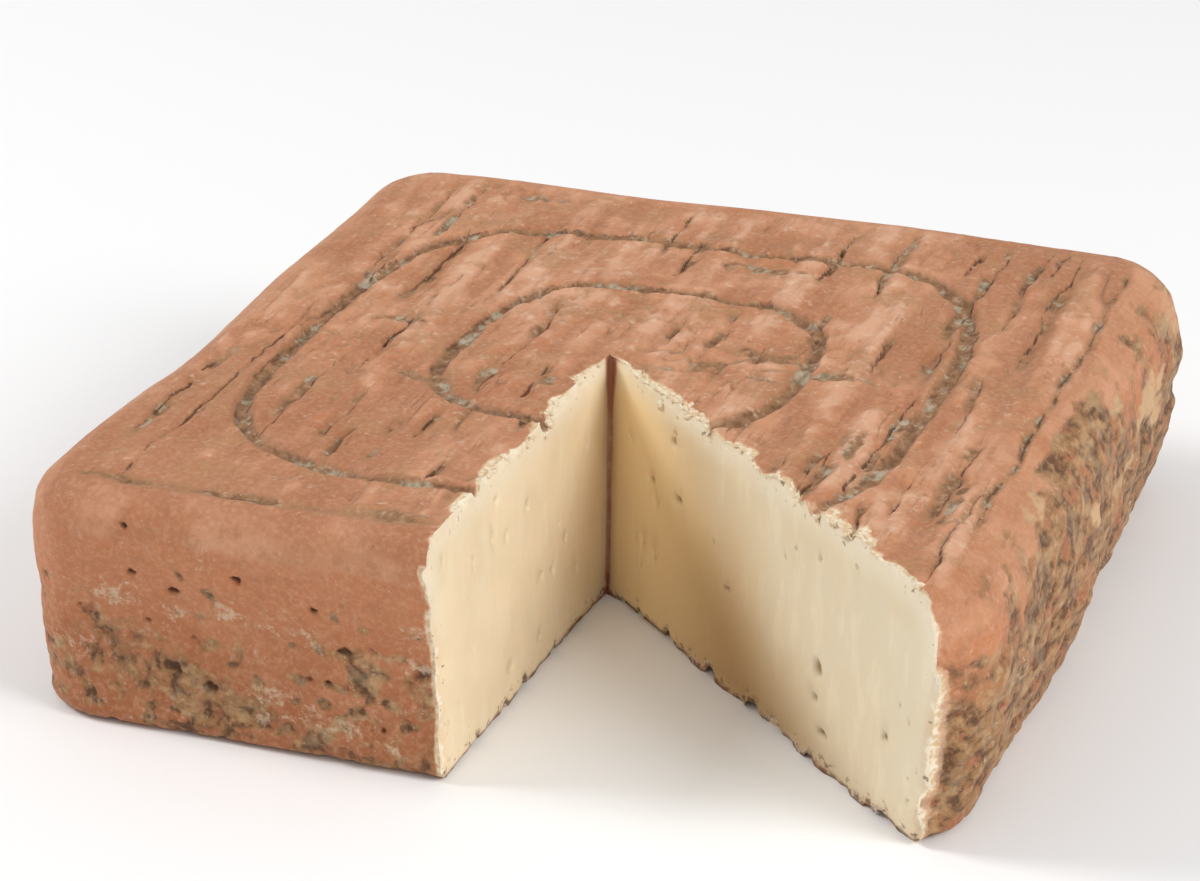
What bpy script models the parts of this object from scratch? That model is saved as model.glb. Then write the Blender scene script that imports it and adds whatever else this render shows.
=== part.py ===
"""A square block of washed-rind soft cheese with one triangular portion cut out of its front right.

The block is a squat rounded square that has slumped a little, each side in its own way: the right side
bellies out and has the softest shoulder, the left side spreads at its foot, and the front is set back
under a crisp upper band. The top and the underside carry the straight grooves of the draining mat, the
top also two rounded square grooves, one inside the other, from the plain rims of a press plate. The rind
is pitted and craggy, and the cut faces show small eyes.
"""

import math
import random

import bmesh
import bpy
from mathutils import Matrix, Vector, noise

# Driving dimensions, in metres
SIDE = 0.191
HEIGHT = 0.055
CORNER_RADIUS = 0.0150
FRONT_RIGHT_RADIUS_AT_TOP = 0.0260
FRONT_RIGHT_RADIUS_AT_FOOT = 0.0240
SHOULDER_RADIUS = {"left": 0.0110, "right": 0.0150, "front": 0.0055, "back": 0.0055}
FOOT_RADIUS = 0.0042

# How far each side bellies out at half height, how far its foot draws in (or spreads, where it is less than
# nothing), and how far its lower part is set back under the upper band
BELLY = {"left": 0.0030, "right": 0.0053, "front": 0.0000, "back": 0.0024}
FOOT_DRAW = {"left": -0.0034, "right": 0.0030, "front": 0.0012, "back": 0.0028}
SET_BACK = {"left": 0.0, "right": 0.0, "front": 0.0034, "back": 0.0}
SET_BACK_ENDS = (0.45, 0.85)

# The soft bulge of the right side, below its shoulder
BULGE = 0.0020
BULGE_AT = -0.015
BULGE_HALF_LENGTH = 0.022
BULGE_FADE = (0.55, 0.95)

# The cut portion, seen from above: a triangle from the middle to the front side and the front right corner.
# Its right face leans, so the apex and the corner are given at the top and at the foot.
NOTCH_APEX = (-0.0057, -0.0007)
NOTCH_APEX_AT_FOOT = (-0.0060, -0.0043)
NOTCH_LEFT_MOUTH = (-0.0078, -SIDE / 2)
NOTCH_CORNER = (0.0895, -0.0885)
NOTCH_CORNER_AT_FOOT = (0.0868, -0.0867)
NOTCH_REACH = 0.040
KNIFE_OVERSHOOT = 0.010

# The block's mesh before it is cut
CELLS_ACROSS = 34
CELLS_UP = 11
CROWDING = 0.90

# The slump and crags of the surface. Crags are the full depth low on the right side alone, the side that
# faces further along +X than the range says; they are calmer elsewhere and in the upper band of each side.
SWELL = 0.0012
SWELL_PITCH = 0.045
SWELL_STARTS_AT = 0.10
CRAG_DEPTH = 0.0014
CRAG_PITCH = 0.0085
CRAG_OFFSET = Vector((3.1, 7.7, 1.3))
CRAG_SHARE_ELSEWHERE = 0.45
RIGHT_FACING = (0.5, 0.9)
UPPER_BAND = (0.45, 0.85)
UPPER_BAND_CALM = 0.6
FLAT_TOLERANCE = 1e-7

# The two rounded square rims pressed into the top, as (x, y, half width, squareness, points)
RIMS = (
    (-0.0030, -0.0035, 0.0680, 4.0, 64),
    (-0.0020, 0.0010, 0.0370, 3.0, 40),
)
RIM_GROOVE_RADIUS = 0.0024
RIM_GROOVE_DEPTH = 0.0017
RIM_UNEVENNESS = 0.03

# A groove's thickness wavers by this share, and a line's two ends are this share as thick as its middle
GROOVE_WAVER = 0.14
LINE_END_SHARE = 0.35

# The draining mat's grooves on the top, all along Y: (x, first y, last y, radius)
TOP_MAT_LINES = (
    (-0.0610, -0.0600, -0.0250, 0.0016),
    (-0.0600, 0.0140, 0.0600, 0.0013),
    (-0.0480, -0.0580, -0.0340, 0.0011),
    (-0.0340, -0.0640, -0.0440, 0.0013),
    (-0.0260, -0.0280, 0.0240, 0.0014),
    (-0.0080, 0.0440, 0.0800, 0.0014),
    (0.0120, 0.0060, 0.0300, 0.0013),
    (0.0375, 0.0440, 0.0860, 0.0014),
    (0.0430, -0.0440, -0.0190, 0.0018),
    (0.0530, -0.0500, -0.0200, 0.0014),
    (0.0585, 0.0100, 0.0560, 0.0018),
    (0.0605, -0.0560, 0.0020, 0.0015),
    (0.0715, -0.0210, 0.0120, 0.0013),
    (0.0765, 0.0200, 0.0840, 0.0018),
    (0.0775, -0.0560, -0.0150, 0.0018),
)
MAT_GROOVE_DEPTH = 0.0012
MAT_GROOVE_PITCH = 0.0085

# The creases that the press plate's rim leaves inside the right and front shoulders: (start, end)
CREASES = (
    ((0.0865, -0.0600), (0.0870, 0.0840)),
    ((-0.0850, -0.0880), (-0.0060, -0.0885)),
)
CREASE_RADIUS = 0.0016
CREASE_DEPTH = 0.0011
CREASE_PITCH = 0.013
LINE_WANDER = 0.0005

# Grooves of the mat under the cheese: (place, half width, depth)
UNDER_GROOVES_ALONG_Y = (
    (-0.0800, 0.0016, 0.0014),
    (-0.0560, 0.0012, 0.0016),
    (-0.0330, 0.0016, 0.0013),
    (0.0130, 0.0014, 0.0020),
    (0.0270, 0.0018, 0.0026),
    (0.0390, 0.0024, 0.0022),
    (0.0560, 0.0014, 0.0018),
    (0.0760, 0.0026, 0.0020),
)
UNDER_GROOVES_ALONG_X = (
    (-0.0740, 0.0014, 0.0016),
    (-0.0500, 0.0018, 0.0022),
    (-0.0330, 0.0012, 0.0018),
    (0.0300, 0.0014, 0.0014),
    (0.0620, 0.0016, 0.0016),
)
GROOVE_FLOOR_SHARE = 0.3
GROOVE_BELOW = 0.002

# Small pits in the rind: on the front as (x, z, radius), by chance on the other sides
FRONT_PITS = (
    (-0.0630, 0.0340, 0.0013),
    (-0.0850, 0.0268, 0.0011),
    (-0.0700, 0.0256, 0.0011),
    (-0.0600, 0.0232, 0.0013),
    (-0.0660, 0.0160, 0.0021),
    (-0.0715, 0.0372, 0.0010),
    (-0.0490, 0.0392, 0.0011),
    (-0.0330, 0.0346, 0.0010),
    (-0.0352, 0.0188, 0.0012),
    (-0.0575, 0.0128, 0.0016),
)
PITS_A_SIDE = 11
PIT_RADII = (0.0010, 0.0021)
PIT_HEIGHTS = (0.012, 0.040)
PIT_FLATNESS = 0.8
PIT_PLACES_IN_CELL = (0.2, 0.8)
CHANCE_SEED = 7

# Eyes in the two cut faces: (distance from the apex, height, half width, half height)
LEFT_CUT_EYES = (
    (0.0450, 0.0400, 0.0011, 0.0010),
    (0.0610, 0.0480, 0.0010, 0.0009),
    (0.0540, 0.0085, 0.0016, 0.0008),
)
RIGHT_CUT_EYES = (
    (0.0185, 0.0335, 0.0017, 0.0009),
    (0.0300, 0.0335, 0.0018, 0.0012),
    (0.0280, 0.0455, 0.0013, 0.0010),
    (0.0505, 0.0225, 0.0014, 0.0008),
    (0.0860, 0.0212, 0.0017, 0.0023),
    (0.0852, 0.0146, 0.0012, 0.0010),
    (0.1105, 0.0180, 0.0012, 0.0010),
    (0.0880, 0.0080, 0.0020, 0.0010),
)
EYE_DEPTH = 0.0016

RIND_COLOUR = (0.552, 0.246, 0.147, 1.0)
RIND_ROUGHNESS = 0.62


def smooth(low, high, value):
    """A soft step from 0 at low to 1 at high."""
    t = min(1.0, max(0.0, (value - low) / (high - low)))
    return t * t * (3 - 2 * t)


def crowd(share):
    """Moves an even spacing from -1 to 1 towards both ends, where the edges are round."""
    quarter = CROWDING * math.pi / 2
    return math.sin(quarter * share) / math.sin(quarter)


def between(values, across, low_side, high_side):
    """A value for a place between two opposite sides, from -1 at the first to 1 at the second."""
    weight = (1 + across) / 2
    return values[low_side] * (1 - weight) + values[high_side] * weight


def side_offset(height, across, low_side, high_side):
    """How far the block stands out from its plain square at a height."""
    share = height / HEIGHT
    belly = between(BELLY, across, low_side, high_side) * 4 * share * (1 - share)
    draw = between(FOOT_DRAW, across, low_side, high_side) * (1 - share)
    set_back = between(SET_BACK, across, low_side, high_side) * (1 - smooth(*SET_BACK_ENDS, share))
    return belly - draw - set_back


def shoulder_radius(x, y):
    """The shoulder's radius over a point, blended from the four sides by how near each of them is."""
    half = SIDE / 2
    nearer_x = x * x / max(x * x + y * y, 1e-12)
    along_x = between(SHOULDER_RADIUS, x / half, "left", "right")
    along_y = between(SHOULDER_RADIUS, y / half, "front", "back")
    return along_x * nearer_x + along_y * (1 - nearer_x)


def round_off(across, up, radius):
    """Turns the square edge between two faces into an arc, given a point's distance to each face."""
    if across >= radius or up >= radius:
        return across, up
    a, b = radius - across, radius - up
    shrink = max(a, b) / math.hypot(a, b)
    return radius - a * shrink, radius - b * shrink


def slumped(point):
    """The place in the soft block of a point of the plain square block."""
    half = SIDE / 2
    x, y, z = point
    reach = max(abs(x), abs(y), 1e-6)
    bulge_share = smooth(*BULGE_FADE, x / half)
    if z > HEIGHT / 2:
        edge, gap = round_off(half - reach, HEIGHT - z, shoulder_radius(x, y))
        z = HEIGHT - gap
    else:
        edge, z = round_off(half - reach, z, FOOT_RADIUS)
    x, y = x * (half - edge) / reach, y * (half - edge) / reach
    share = z / HEIGHT
    front_right = FRONT_RIGHT_RADIUS_AT_FOOT * (1 - share) + FRONT_RIGHT_RADIUS_AT_TOP * share
    core = half - (front_right if x > 0 > y else CORNER_RADIUS)
    a, b = abs(x) - core, abs(y) - core
    if a > 0 and b > 0:
        shrink = max(a, b) / math.hypot(a, b)
        x = math.copysign(core + a * shrink, x)
        y = math.copysign(core + b * shrink, y)
    x *= 1 + side_offset(z, x / half, "left", "right") / half
    y *= 1 + side_offset(z, y / half, "front", "back") / half
    bulge = BULGE * math.exp(-(((y - BULGE_AT) / BULGE_HALF_LENGTH) ** 2))
    x += bulge * bulge_share * (1 - smooth(*BULGE_FADE, share))
    return Vector((x, y, z))


def weathered(place, outward, height_share):
    """Adds the swell of the soft block and the crags of its rind. The underside stays flat."""
    free = smooth(0.0, SWELL_STARTS_AT, height_share)
    swell = SWELL * (noise.noise(place / SWELL_PITCH) - 0.5)
    upright = 1 - abs(outward.z)
    right_side = CRAG_SHARE_ELSEWHERE + (1 - CRAG_SHARE_ELSEWHERE) * smooth(*RIGHT_FACING, outward.x)
    low = 1 - UPPER_BAND_CALM * smooth(*UPPER_BAND, height_share)
    crags = CRAG_DEPTH * noise.noise(place / CRAG_PITCH + CRAG_OFFSET) * upright * right_side * low
    return place + outward * free * (swell + crags)


def collection(name):
    made = bpy.data.collections.new(name)
    bpy.context.scene.collection.children.link(made)
    return made


def mesh_object(name, bm, home):
    mesh = bpy.data.meshes.new(name)
    bm.to_mesh(mesh)
    bm.free()
    obj = bpy.data.objects.new(name, mesh)
    home.objects.link(obj)
    return obj


def inside_notch(place):
    """Whether a point is in the portion that is cut away."""
    apex, mouth, corner = Vector(NOTCH_APEX), Vector(NOTCH_LEFT_MOUTH), Vector(NOTCH_CORNER)
    flat = place.to_2d() - apex
    return (mouth - apex).cross(flat) > 0 and (corner - apex).cross(flat) < 0


def make_block(home):
    """The whole block as a subdivided cube, shaped, with its flat underside left as one face."""
    bm = bmesh.new()
    bmesh.ops.create_cube(bm, size=2.0)
    upright = [e for e in bm.edges if abs(e.verts[0].co.z - e.verts[1].co.z) > 1]
    level = [e for e in bm.edges if e not in upright]
    bmesh.ops.subdivide_edges(bm, edges=level, cuts=CELLS_ACROSS - 1, use_grid_fill=True)
    upright = [e for e in bm.edges if abs(e.verts[0].co.z - e.verts[1].co.z) > 1]
    bmesh.ops.subdivide_edges(bm, edges=upright, cuts=CELLS_UP - 1, use_grid_fill=True)
    for v in bm.verts:
        x, y, z = (crowd(c) for c in v.co)
        v.co = Vector((x * SIDE / 2, y * SIDE / 2, (z + 1) * HEIGHT / 2))
    height_share = {v: v.co.z / HEIGHT for v in bm.verts}
    for v in bm.verts:
        v.co = slumped(v.co)
    bm.normal_update()
    outward = {v: v.normal.copy() for v in bm.verts}
    for v in bm.verts:
        v.co = weathered(v.co, outward[v], height_share[v])
    centre_over_foot(bm)
    flat = [f for f in bm.faces if all(v.co.z < FLAT_TOLERANCE for v in f.verts)]
    bmesh.ops.dissolve_faces(bm, faces=flat, use_verts=False)
    return mesh_object("cheese", bm, home)


def centre_over_foot(bm):
    """Centres on the origin what the knife will leave of the block."""
    kept = [v.co for v in bm.verts if not inside_notch(v.co)]
    middle_x = (min(p.x for p in kept) + max(p.x for p in kept)) / 2
    middle_y = (min(p.y for p in kept) + max(p.y for p in kept)) / 2
    bmesh.ops.translate(bm, vec=(-middle_x, -middle_y, 0), verts=bm.verts)


def extruded(outline, run, name, home):
    """A closed straight bar: an outline of points moved along a run."""
    bm = bmesh.new()
    face = bm.faces.new([bm.verts.new(p) for p in outline])
    moved = bmesh.ops.extrude_face_region(bm, geom=[face])["geom"]
    bmesh.ops.translate(bm, verts=[g for g in moved if isinstance(g, bmesh.types.BMVert)], vec=run)
    bmesh.ops.recalc_face_normals(bm, faces=bm.faces)
    return mesh_object(name, bm, home)


def notch_outline(height):
    """The cut portion's apex, left mouth and corner at a height, both ends carried on past the block."""
    share = height / HEIGHT
    apex = Vector(NOTCH_APEX_AT_FOOT).lerp(Vector(NOTCH_APEX), share)
    corner = Vector(NOTCH_CORNER_AT_FOOT).lerp(Vector(NOTCH_CORNER), share)
    mouth = Vector(NOTCH_LEFT_MOUTH)
    mouth += (mouth - apex).normalized() * NOTCH_REACH
    corner += (corner - apex).normalized() * NOTCH_REACH
    return [(p.x, p.y, height) for p in (apex, mouth, corner)]


def notch_cutter(home):
    """A three-sided wedge that reaches past the block's front, top and underside."""
    bottom = notch_outline(-KNIFE_OVERSHOOT)
    cutter = extruded(bottom, (0, 0, HEIGHT + 2 * KNIFE_OVERSHOOT), "notch_cutter", home)
    top = notch_outline(HEIGHT + KNIFE_OVERSHOOT)
    for v in cutter.data.vertices:
        if v.co.z > HEIGHT:
            v.co = min(top, key=lambda p: (Vector(p) - v.co).length)


def groove_cutter(name, points, radius, resolution, closed, home, rng):
    """A tube of uneven thickness along a line of points, made a mesh so that it can cut."""
    curve = bpy.data.curves.new(name, "CURVE")
    curve.dimensions = "3D"
    curve.bevel_depth = radius
    curve.bevel_resolution = resolution
    curve.use_fill_caps = not closed
    spline = curve.splines.new("POLY")
    spline.points.add(len(points) - 1)
    spline.use_cyclic_u = closed
    last = len(points) - 1
    for i, p in enumerate(points):
        spline.points[i].co = (*p, 1.0)
        taper = 1.0 if closed else LINE_END_SHARE + (1 - LINE_END_SHARE) * math.sin(math.pi * i / last)
        spline.points[i].radius = taper * rng.uniform(1 - GROOVE_WAVER, 1 + GROOVE_WAVER)
    drawn = bpy.data.objects.new(name + "_line", curve)
    bpy.context.scene.collection.objects.link(drawn)
    seen = drawn.evaluated_get(bpy.context.evaluated_depsgraph_get())
    mesh = bpy.data.meshes.new_from_object(seen)
    bm = bmesh.new()
    bm.from_mesh(mesh)
    bmesh.ops.remove_doubles(bm, verts=bm.verts, dist=1e-6)
    bmesh.ops.recalc_face_normals(bm, faces=bm.faces)
    bpy.data.objects.remove(drawn)
    bpy.data.meshes.remove(mesh)
    return mesh_object(name, bm, home)


def groove_level(radius, depth):
    """The height of a groove tube's middle line, so that it cuts to a depth below the top."""
    return HEIGHT - SWELL / 2 - depth + radius


def rim_points(centre_x, centre_y, half, squareness, count, level):
    """A rounded square, as a superellipse drawn a little unevenly."""
    power = 2 / squareness
    points = []
    for i in range(count):
        turn = 2 * math.pi * i / count
        c, s = math.cos(turn), math.sin(turn)
        uneven = 1 + RIM_UNEVENNESS * noise.noise(Vector((2 * c, 2 * s, half / RIM_GROOVE_RADIUS)))
        x = math.copysign(abs(c) ** power, c) * half * uneven
        y = math.copysign(abs(s) ** power, s) * half * uneven
        points.append((centre_x + x, centre_y + y, level))
    return points


def rim_cutters(home, rng):
    """The press plate's two rims, cut by one closed tube each."""
    level = groove_level(RIM_GROOVE_RADIUS, RIM_GROOVE_DEPTH)
    for n, (x, y, half, squareness, count) in enumerate(RIMS):
        points = rim_points(x, y, half, squareness, count, level)
        groove_cutter(f"rim_cutter_{n}", points, RIM_GROOVE_RADIUS, 1, True, home, rng)


def line_points(start, end, pitch, level, rng):
    """A straight line of points that wander a little sideways."""
    start, end = Vector(start), Vector(end)
    steps = max(3, round((end - start).length / pitch))
    sideways = Vector((start.y - end.y, end.x - start.x)).normalized()
    points = []
    for i in range(steps + 1):
        place = start.lerp(end, i / steps) + sideways * rng.uniform(-LINE_WANDER, LINE_WANDER)
        points.append((place.x, place.y, level))
    return points


def mat_cutters(home, rng):
    """The mat's grooves across the top, each a thin tube that fades out at both ends."""
    for n, (x, first_y, last_y, radius) in enumerate(TOP_MAT_LINES):
        level = groove_level(radius, MAT_GROOVE_DEPTH)
        points = line_points((x, first_y), (x, last_y), MAT_GROOVE_PITCH, level, rng)
        groove_cutter(f"mat_cutter_{n:02d}", points, radius, 0, False, home, rng)


def crease_cutters(home, rng):
    """The long creases just inside the right and front shoulders."""
    level = groove_level(CREASE_RADIUS, CREASE_DEPTH)
    for n, (start, end) in enumerate(CREASES):
        points = line_points(start, end, CREASE_PITCH, level, rng)
        groove_cutter(f"crease_cutter_{n}", points, CREASE_RADIUS, 0, False, home, rng)


def groove_section(half_width, depth):
    """A groove's section as (sideways, up): narrow at its floor, its walls carried on below the cheese."""
    floor = half_width * GROOVE_FLOOR_SHARE
    mouth = half_width + (half_width - floor) * GROOVE_BELOW / depth
    return ((-mouth, -GROOVE_BELOW), (mouth, -GROOVE_BELOW), (floor, depth), (-floor, depth))


def underside_cutters(home):
    """Straight bars that leave the mat's grooves in the underside, along Y and along X."""
    for n, (place, half_width, depth) in enumerate(UNDER_GROOVES_ALONG_Y):
        outline = [(place + across, -SIDE, up) for across, up in groove_section(half_width, depth)]
        extruded(outline, (0, 2 * SIDE, 0), f"under_cutter_y_{n}", home)
    for n, (place, half_width, depth) in enumerate(UNDER_GROOVES_ALONG_X):
        outline = [(-SIDE, place + across, up) for across, up in groove_section(half_width, depth)]
        extruded(outline, (2 * SIDE, 0, 0), f"under_cutter_x_{n}", home)


def pit_cutter(name, place, size, turn, home):
    """A small faceted ball, stretched to the pit's or eye's size and turned to face the surface."""
    bm = bmesh.new()
    bmesh.ops.create_icosphere(bm, subdivisions=1, radius=1.0)
    bmesh.ops.transform(bm, matrix=Matrix.Diagonal((*size, 1.0)), verts=bm.verts)
    bmesh.ops.rotate(bm, matrix=Matrix.Rotation(turn, 3, "Z"), verts=bm.verts)
    bmesh.ops.translate(bm, vec=place, verts=bm.verts)
    return mesh_object(name, bm, home)


def side_surface(along, height, facing):
    """The point of a side at a distance along it and a height. Facing is the side's outward direction."""
    across = Vector((-facing.y, facing.x, 0))
    stands_out = side_offset(height, facing.x, "left", "right") * abs(facing.x)
    stands_out += side_offset(height, facing.y, "front", "back") * abs(facing.y)
    return facing * (SIDE / 2 + stands_out) + across * along + Vector((0, 0, height))


def pit_cutters(home, rng):
    """Pits of the front where they show, and more by chance on the other three sides."""
    for n, (x, z, radius) in enumerate(FRONT_PITS):
        place = side_surface(x, z, Vector((0, -1, 0)))
        pit_cutter(f"front_pit_{n}", place, (radius, radius, radius * PIT_FLATNESS), n, home)
    sides = {"right": Vector((1, 0, 0)), "back": Vector((0, 1, 0)), "left": Vector((-1, 0, 0))}
    span = SIDE - 3 * CORNER_RADIUS
    for label, facing in sides.items():
        for n in range(PITS_A_SIDE):
            along = span * ((n + rng.uniform(*PIT_PLACES_IN_CELL)) / PITS_A_SIDE - 0.5)
            radius = rng.uniform(*PIT_RADII)
            place = side_surface(along, rng.uniform(*PIT_HEIGHTS), facing)
            pit_cutter(f"{label}_pit_{n}", place, (radius, radius, radius * PIT_FLATNESS), n, home)


def eye_cutters(home):
    """The small eyes that show in the two cut faces."""
    for label, end, eyes in (("left", 1, LEFT_CUT_EYES), ("right", 2, RIGHT_CUT_EYES)):
        for n, (distance, height, half_width, half_height) in enumerate(eyes):
            outline = [Vector(p) for p in notch_outline(height)]
            along = (outline[end] - outline[0]).normalized()
            turn = math.atan2(along.y, along.x)
            size = (half_width, EYE_DEPTH, half_height)
            pit_cutter(f"{label}_eye_{n}", outline[0] + along * distance, size, turn, home)


def rind_material():
    material = bpy.data.materials.new("washed_rind")
    material.use_nodes = True
    shader = material.node_tree.nodes["Principled BSDF"]
    shader.inputs["Base Color"].default_value = RIND_COLOUR
    shader.inputs["Roughness"].default_value = RIND_ROUGHNESS
    shader.inputs["Metallic"].default_value = 0.0
    return material


def cut_with(obj, cutters):
    """Subtracts a collection of cutters from the block."""
    cut = obj.modifiers.new("cuts", "BOOLEAN")
    cut.operation = "DIFFERENCE"
    cut.solver = "EXACT"
    cut.operand_type = "COLLECTION"
    cut.collection = cutters
    for cutter in cutters.objects:
        cutter.hide_render = True
        cutter.display_type = "WIRE"


for old in list(bpy.data.objects):
    bpy.data.objects.remove(old)

chance = random.Random(CHANCE_SEED)
cheese_parts = collection("taleggio_cheese")
knives = collection("cutters")
cheese = make_block(cheese_parts)
cheese.data.materials.append(rind_material())
notch_cutter(knives)
rim_cutters(knives, chance)
mat_cutters(knives, chance)
crease_cutters(knives, chance)
underside_cutters(knives)
pit_cutters(knives, chance)
eye_cutters(knives)
cut_with(cheese, knives)
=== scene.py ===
import math
import random

import bmesh
import bpy
import numpy as np
from mathutils import Matrix, Vector, noise


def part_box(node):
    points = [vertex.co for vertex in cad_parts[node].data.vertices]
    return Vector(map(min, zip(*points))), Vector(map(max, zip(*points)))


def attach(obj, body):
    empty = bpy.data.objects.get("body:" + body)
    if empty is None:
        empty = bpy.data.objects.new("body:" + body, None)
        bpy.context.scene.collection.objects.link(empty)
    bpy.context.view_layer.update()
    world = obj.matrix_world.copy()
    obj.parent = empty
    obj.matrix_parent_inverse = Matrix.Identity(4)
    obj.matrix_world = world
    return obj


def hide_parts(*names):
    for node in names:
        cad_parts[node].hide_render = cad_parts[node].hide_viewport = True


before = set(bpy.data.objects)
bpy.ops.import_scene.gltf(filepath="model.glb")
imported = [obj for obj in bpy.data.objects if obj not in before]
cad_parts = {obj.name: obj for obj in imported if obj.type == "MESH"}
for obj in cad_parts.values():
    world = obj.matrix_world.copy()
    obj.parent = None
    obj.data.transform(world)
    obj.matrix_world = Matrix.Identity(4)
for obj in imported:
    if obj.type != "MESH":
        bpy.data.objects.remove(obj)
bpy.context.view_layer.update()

# The cheese: a square block of soft paste that was pressed in a mould, laid on a reed mat and washed until
# its rind turned pink, with mould in the mat's grooves. It slumped as it ripened, so its sides belly out.
# One triangular portion is cut out of the front right with a straight knife, which leaves two pale faces.

SIDE = 0.191
HEIGHT = 0.055
CORNER_RADIUS = 0.0150
FRONT_RIGHT_RADIUS_AT_TOP = 0.0260
FRONT_RIGHT_RADIUS_AT_FOOT = 0.0240
SHOULDER_RADIUS = {"left": 0.0110, "right": 0.0150, "front": 0.0055, "back": 0.0055}
FOOT_RADIUS = 0.0042
SKIN_DEPTH = 0.0085

# How far each side bellies out, draws in at its foot (or spreads, below 0), and is set back under its upper
# band, between two shares of the height. The right side also bulges a little near its middle.
BELLY = {"left": 0.0030, "right": 0.0053, "front": 0.0000, "back": 0.0024}
FOOT_DRAW = {"left": -0.0034, "right": 0.0030, "front": 0.0012, "back": 0.0028}
SET_BACK = {"left": 0.0, "right": 0.0, "front": 0.0034, "back": 0.0}
SET_BACK_ENDS = (0.45, 0.85)
BULGE, BULGE_AT, BULGE_HALF_LENGTH, BULGE_FADE = 0.0020, -0.015, 0.022, (0.55, 0.95)

# The knife's two cuts from above, as apex, left mouth and right corner, at the top and at the foot
CUT_AT_TOP = ((-0.0057, -0.0007), (-0.0078, -0.0955), (0.0955, -0.09403))
CUT_AT_FOOT = ((-0.0060, -0.0043), (-0.0078, -0.0955), (0.0955, -0.09443))

HALF = SIDE / 2

# The block's grid, whose cells crowd towards the cuts, and towards the foot and the top
CELLS_ROUND, CELLS_INWARD, CELLS_UP = ((620, 260, 96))
CROWD_AT_CUTS, CROWD_AT_ENDS = 0.9, 0.90 * math.pi / 2


def soft_step(low, high, value):
    """A soft step from 0 at low to 1 at high."""
    share = np.clip((value - low) / (high - low), 0.0, 1.0)
    return share * share * (3 - 2 * share)


# It starts as a closed box whose x runs round the cheese (0 at the front side, 1 at the back left corner, 2
# at the right side), whose y runs inward (0 at the left and back sides, 1 at the cuts) and whose z runs up
bm = bmesh.new()
bmesh.ops.create_cube(bm, size=1.0)
bmesh.ops.translate(bm, vec=(0.5, 0.5, 0.5), verts=bm.verts)
bmesh.ops.scale(bm, vec=(2.0, 1.0, 1.0), verts=bm.verts)
for axis, cells in enumerate((CELLS_ROUND, CELLS_INWARD, CELLS_UP)):
    crossing = [e for e in bm.edges if abs(e.verts[0].co[axis] - e.verts[1].co[axis]) > 0.5]
    bmesh.ops.subdivide_edges(bm, edges=crossing, cuts=cells - 1, use_grid_fill=True)
cheese_mesh = bpy.data.meshes.new("cheese_block")
bm.to_mesh(cheese_mesh)
bm.free()

box = np.empty(len(cheese_mesh.vertices) * 3)
cheese_mesh.vertices.foreach_get("co", box)
box = box.reshape(-1, 3)
along = box[:, 0]
inward = np.clip(np.sin(CROWD_AT_CUTS * box[:, 1]) / math.sin(CROWD_AT_CUTS), 0.0, 1.0)
upward = np.sin(CROWD_AT_ENDS * (2 * box[:, 2] - 1)) / math.sin(CROWD_AT_ENDS)
upward = np.clip((upward + 1) / 2, 0.0, 1.0)
on_cut = box[:, 1] > 1 - 1e-5
first_half = along <= 1.0


def footprint(along, inward, upward):
    """The place of a point of the box in the plain square block, before it slumps."""
    apex, mouth, corner = (
        np.outer(1 - upward, CUT_AT_FOOT[i]) + np.outer(upward, CUT_AT_TOP[i]) for i in range(3)
    )
    share = np.where(along <= 1, along, along - 1)[:, None]
    first = (along <= 1)[:, None]
    front_left, back_left, back_right = (np.array(p) * HALF for p in ((-1, -1), (-1, 1), (1, 1)))
    outer_start, outer_end = np.where(first, front_left, back_left), np.where(first, back_left, back_right)
    inner_start, inner_end = np.where(first, mouth, apex), np.where(first, apex, corner)
    outer = outer_start * (1 - share) + outer_end * share
    inner = inner_start * (1 - share) + inner_end * share
    flat = outer * (1 - inward[:, None]) + inner * inward[:, None]
    return np.column_stack((flat, upward * HEIGHT))


def round_off(across, up, radius):
    """Turns the square edge between two faces into an arc, given a point's distance to each face."""
    near = (across < radius) & (up < radius)
    a, b = radius - across, radius - up
    shrink = np.maximum(a, b) / np.maximum(np.hypot(a, b), 1e-9)
    return np.where(near, radius - a * shrink, across), np.where(near, radius - b * shrink, up)


def between(values, across, low_side, high_side):
    """A value for a place between two opposite sides, from -1 at the first to 1 at the second."""
    weight = (1 + across) / 2
    return values[low_side] * (1 - weight) + values[high_side] * weight


def side_offset(height, across, low_side, high_side):
    """How far the block stands out from its plain square at a height."""
    share = height / HEIGHT
    belly = between(BELLY, across, low_side, high_side) * 4 * share * (1 - share)
    draw = between(FOOT_DRAW, across, low_side, high_side) * (1 - share)
    set_back = between(SET_BACK, across, low_side, high_side) * (1 - soft_step(*SET_BACK_ENDS, share))
    return belly - draw - set_back


def shoulder_radius(x, y):
    """The shoulder's radius over a point, blended from the four sides by how near each of them is."""
    nearer_x = x * x / np.maximum(x * x + y * y, 1e-12)
    along_x = between(SHOULDER_RADIUS, x / HALF, "left", "right")
    along_y = between(SHOULDER_RADIUS, y / HALF, "front", "back")
    return along_x * nearer_x + along_y * (1 - nearer_x)


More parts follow.
